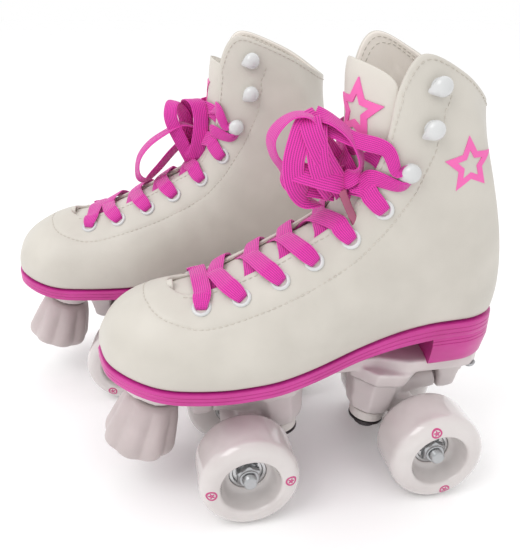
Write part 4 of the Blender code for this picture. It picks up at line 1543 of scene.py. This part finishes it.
def wheelProfile():
    # outer face at +Z: bowl, rolled lip, nearly flat face, round shoulder, tread, plain inner face
    r, half, edge, lip = wheel["radius"], wheel["half"], wheel["edge"], wheel["lip"]
    bowl = [(wheel["bore"], wheel["floor"]), (12.4, wheel["floor"])]
    bowlEnds = ((12.4, 4.2, 0), (14.6, 4.6, 0), (16.2, 8.0, 0), (17.2, 14.6, 0))
    bowl += [tuple(bezier(bowlEnds, k / 10))[:2] for k in range(1, 11)]
    rim = arc((lip + 0.9, half - 2.2), 2.2, 165, 90, 8)
    face = [(20.6, half - 0.06)]
    shoulder = arc((r - edge, half - edge), edge, 90, 0, 14)
    crown = [(r, 4.0), (r, -4.0)]
    back = arc((r - edge, edge - half), edge, 0, -90, 12)
    back += [(14.0, -half), (12.6, 0.8 - half), (wheel["bore"], 0.8 - half)]
    return bowl + rim + face + shoulder + crown + back


def wheelFaceHeight(radius):
    # height of the outer face at a radius
    edge, half = wheel["edge"], wheel["half"]
    over = max(radius - (wheel["radius"] - edge), 0.0)
    return half - edge + math.sqrt(max(edge * edge - over * over, 0.0))


def bearingProfile():
    # one closed ring from the outer bearing's face to the inner bearing's back
    face = [(4.4, 3.4), (6.0, 3.4), (6.1, 2.7), (8.5, 2.6), (8.8, 3.3), (9.2, 3.7), (10.6, 3.7), (11.0, 3.3)]
    back = [(11.0, -16.0), (10.6, -16.4), (9.2, -16.4), (8.8, -15.7), (6.2, -15.7), (6.0, -16.2)]
    return face + back + [(4.4, -16.2)]


nutSizes = {"across": 13.0, "low": 4.0, "high": 10.0, "bore": 4.15, "steps": 60}


def hexNut(name, matrix, material):
    # a lock nut: chamfered hexagon with a rolled collar at the outer end
    low, high, bore, count = (nutSizes[label] for label in ("low", "high", "bore", "steps"))
    reaches = [
        (low, 6.3), (low + 0.5, 7.6), (high - 1.9, 7.6), (high - 1.4, 6.3),
        (high - 1.2, 5.9), (high - 0.3, 5.7), (high, 5.2),
    ]
    rows = []
    for height, most in reaches:
        row = []
        for i in range(count):
            angle = 2 * math.pi * i / count
            flat = nutSizes["across"] / 2 / math.cos((angle + math.pi / 6) % (math.pi / 3) - math.pi / 6)
            reach = min(flat, most)
            row.append(Vector((reach * math.cos(angle), reach * math.sin(angle), height)))
        rows.append(row)
    rows += [ring(bore, high, count), ring(bore, low, count)]
    points, faces = grid(rows + rows[:1], closedAcross=True)
    piece = pieceAt(matrix, name, points, faces, material)
    facingOut(piece, 28)
    return piece


def axleProfile():
    # plain shaft, with a rolled thread where it stands out of the nuts
    end, radius, pitch = 50.2, 4.0, 0.8
    profile = [(0.0, -end), (3.3, -end)]
    count = 12
    profile += [(radius - (0.28 if i % 2 else 0.0), -end + 0.6 + i * pitch / 2) for i in range(count)]
    return profile + [(r, -z) for r, z in profile[::-1]]


def wheelRoundel(matrix, angle, name):
    # a printed ring with a small flower in it, following the wheel's shoulder
    rounds = circle(36)
    rings = [[Vector((radius * c, radius * s)) for c, s in rounds] for radius in (3.3, 2.25)]
    waves = [0.72 + 0.28 * math.cos(5 * 2 * math.pi * i / 36) for i in range(36)]
    petals = [
        [Vector(spot) * (reach * wave) for spot, wave in zip(rounds, waves)] for reach in (2.0, 0.3)
    ]
    points, faces = [], []
    outward = Vector((math.cos(angle), math.sin(angle)))
    across = Vector((-outward.y, outward.x))
    for outer, inner in (rings, petals):
        rows = []
        for loop, lift in ((outer, -0.2), (outer, 0.07), (inner, 0.07), (inner, -0.2)):
            row = []
            for spot in loop:
                flat = outward * (wheel["roundelReach"] + spot.x) + across * spot.y
                row.append(Vector((flat.x, flat.y, wheelFaceHeight(flat.length) + lift)))
            rows.append(row)
        newPoints, newFaces = grid(rows + rows[:1], closedAcross=True)
        start = len(points)
        points += newPoints
        faces += [tuple(start + i for i in f) for f in newFaces]
    piece = pieceAt(matrix, name, points, faces, rubineInk)
    facingOut(piece)
    return piece


def makeRollers(skate):
    side = skate["name"]
    for end, sign in (("front", -1), ("rear", 1)):
        y = sign * skate["halfBase"]
        matrix = axisMatrix(skate, (0.0, y, skate["axleHeight"]), (1, 0, 0))
        steering = side + "_" + end + "_steering"
        rod = turned(side + "_" + end + "_axle_fine", axleProfile(), 40, matrix, zincSteel)
        finish(rod, steering, [side + "_" + end + "_axle"])
        for place, out in (("outer", 1), ("inner", -1)):
            label = side + "_" + end + "_" + place
            matrix = axisMatrix(skate, (out * wheel["fromMiddle"], y, skate["axleHeight"]), (out, 0, 0))
            count = wheel["steps"]
            tyre = turned(label + "_wheel_fine", wheelProfile(), count, matrix, wheelUrethane, closed=True)
            finish(tyre, label + "_roller", [label + "_wheel"])
            race = turned(label + "_bearing_fine", bearingProfile(), 64, matrix, chromeSteel, closed=True)
            finish(race, label + "_roller", [label + "_bearing"])
            nut = hexNut(label + "_lock_nut", matrix, zincSteel)
            finish(nut, steering, [label + "_nut"])
            local = matrix.to_3x3().inverted()
            back = local @ (skate["matrix"].to_3x3() @ Vector((0, 1, 0)))
            upward = local @ Vector((0, 0, 1))
            turnAngle = math.radians(wheelMarks[label])
            spot = back * math.cos(turnAngle) + upward * math.sin(turnAngle)
            angle = math.atan2(spot.y, spot.x)
            pair = [wheelRoundel(matrix, angle + k * math.pi, label + "_roundel") for k in (0, 1)]
            finish(merged(label + "_roundels", pair, rubineInk), label + "_roller")


for skate in (leftSkate, rightSkate):
    makeRollers(skate)
print("wheels turned")


# toe stops
stop = {"flutes": 8, "depth": 0.125, "height": 35.0, "top": 15.8, "bottom": 23.5, "lean": 20.0, "steps": 144}
stop["place"] = (0.0, -106.5, 62.0)

# share of the height, share of the radius there, share of the fluting
stopRows = [(0.012, 0.40, 0.0), (0.012, 0.80, 0.0), (0.03, 0.90, 0.1), (0.09, 0.97, 0.35), (0.2, 0.985, 0.7)]
stopRows += [(k / 20, 1.0, min(k / 8, 1.0)) for k in range(6, 17)]
stopRows += [
    (0.85, 0.985, 0.95), (0.9, 0.96, 0.9), (0.94, 0.925, 0.8), (0.97, 0.88, 0.65), (0.99, 0.83, 0.5),
    (1.0, 0.76, 0.3), (1.0, 0.42, 0.0),
]
stopBore = [(9.4, -34.9), (9.0, -34.4), (9.0, -27.2), (4.4, -27.0), (4.4, -0.5)]
boltProfile = [
    (0.0, 13.9), (4.0, 13.9), (4.0, -27.3), (7.2, -27.3), (7.5, -27.6), (7.5, -31.8), (7.0, -32.3),
    (3.6, -32.3), (3.4, -29.6), (0.0, -29.4),
]


def makeToeStop(skate):
    name = skate["name"]
    lean = math.radians(stop["lean"])
    matrix = axisMatrix(skate, stop["place"], (0.0, math.sin(lean), math.cos(lean)))
    n = stop["steps"]
    loops = []
    for share, fill, flute in stopRows:
        radius = (stop["top"] + (stop["bottom"] - stop["top"]) * share ** 0.75) * fill
        loop = []
        for i in range(n):
            angle = 2 * math.pi * i / n
            wave = math.sqrt(math.sin(stop["flutes"] / 2 * angle) ** 2 + 0.02)
            reach = radius * (1 - stop["depth"] * flute * (1 - min(wave, 1.0)))
            loop.append(Vector((reach * math.cos(angle), reach * math.sin(angle), -stop["height"] * share)))
        loops.append(loop)
    loops += [ring(radius, height, n) for radius, height in stopBore]
    points, faces = grid(loops + loops[:1], closedAcross=True)
    piece = pieceAt(matrix, name + "_toe_stop_fluted", points, faces, stopRubber)
    facingOut(piece, 50)
    finishOnSkate(skate, piece, "toe_stop_rubber", "toe_stop")
    bolt = turned(name + "_stop_bolt_fine", boltProfile, 48, matrix, zincSteel)
    finishOnSkate(skate, bolt, "axle_steel", "toe_stop_bolt")


for skate in (leftSkate, rightSkate):
    makeToeStop(skate)
print("toe stops moulded")


screwPlaces = [(18, -76), (-18, -76), (18, -60), (-18, -60), (8, -14), (-8, 14), (15, 88), (-15, 88)]
screwHeight = 71.3


def makeScrews(skate):
    # domed heads with a recess, under the plate
    profile = [(0.0, 1.3), (1.6, 1.3), (1.9, 1.9)] + arc((0.0, -1.0), 4.0, 55, 12, 6)
    profile += [(3.9, -0.6), (0.0, -0.6)]
    shape = turned("screwShape", profile, 28, Matrix.Identity(4), zincSteel)
    under = skate["matrix"].to_3x3() @ Vector((0, 0, -1))
    ahead = skate["matrix"].to_3x3() @ Vector((0, -1, 0))
    spots = [(placed(skate, [(x, y, screwHeight)])[0], under, ahead) for x, y in screwPlaces]
    finishOnSkate(skate, studs(skate["name"] + "_plate_screws", shape, spots, zincSteel), "axle_steel")
    bpy.data.objects.remove(shape)


def makeKeeper(skate):
    # a small stitched loop at the foot of the tongue
    base = tonguePoint(tongueNear(Vector((0, -93, 130))), 0.0, 0.0)
    course = []
    for i in range(9):
        angle = math.pi * i / 8
        out = Vector((-math.cos(angle), -0.35 * math.sin(angle), math.sin(angle)))
        place = base + Vector((-4.6 * math.cos(angle), 0.0, 5.2 * math.sin(angle) - 0.8))
        course.append(faceOf(place, out, 3.4))
    points, faces = ribbonMesh(course, 1.3, 3)[:2]
    piece = makePiece(skate["name"] + "_lace_keeper", points, faces, [tongueLeather], skate)
    facingOut(piece)
    finishOnSkate(skate, piece, "tongue_leather")


for skate in (leftSkate, rightSkate):
    makeScrews(skate)
    makeKeeper(skate)
print("screws and lace keepers set")


def makeStudio():
    world = bpy.data.worlds.new("studio")
    scene.world = world
    world.use_nodes = True
    world.node_tree.nodes["Background"].inputs["Color"].default_value = linear("#FFFFFF")
    world.node_tree.nodes["Background"].inputs["Strength"].default_value = 1.0
    for name, place, size, power in (
        ("keySoftbox", (0.5, -0.9, 1.3), 0.9, 7.0),
        ("topSoftbox", (-0.2, 0.1, 1.4), 1.2, 1.6),
    ):
        data = bpy.data.lights.new(name, "AREA")
        data.size, data.energy = size, power
        light = addObject(name, data)
        light.location = place
        light.rotation_euler = (Vector((0, 0, 0.1)) - Vector(place)).to_track_quat("-Z", "Y").to_euler()
    reach, depth = 6, -0.2 * mm
    corners = [(-reach, -reach, depth), (reach, -reach, depth), (reach, reach, depth), (-reach, reach, depth)]
    floor = makePiece("studioFloor", corners, [(0, 1, 2, 3)], [floorPaper])


floorPaper = mouldedMaterial("matt_backdrop_paper", "#FFFFFF", "#FFFFFF", 0.9, 0.0)
makeStudio()
scene.view_settings.view_transform = "Standard"
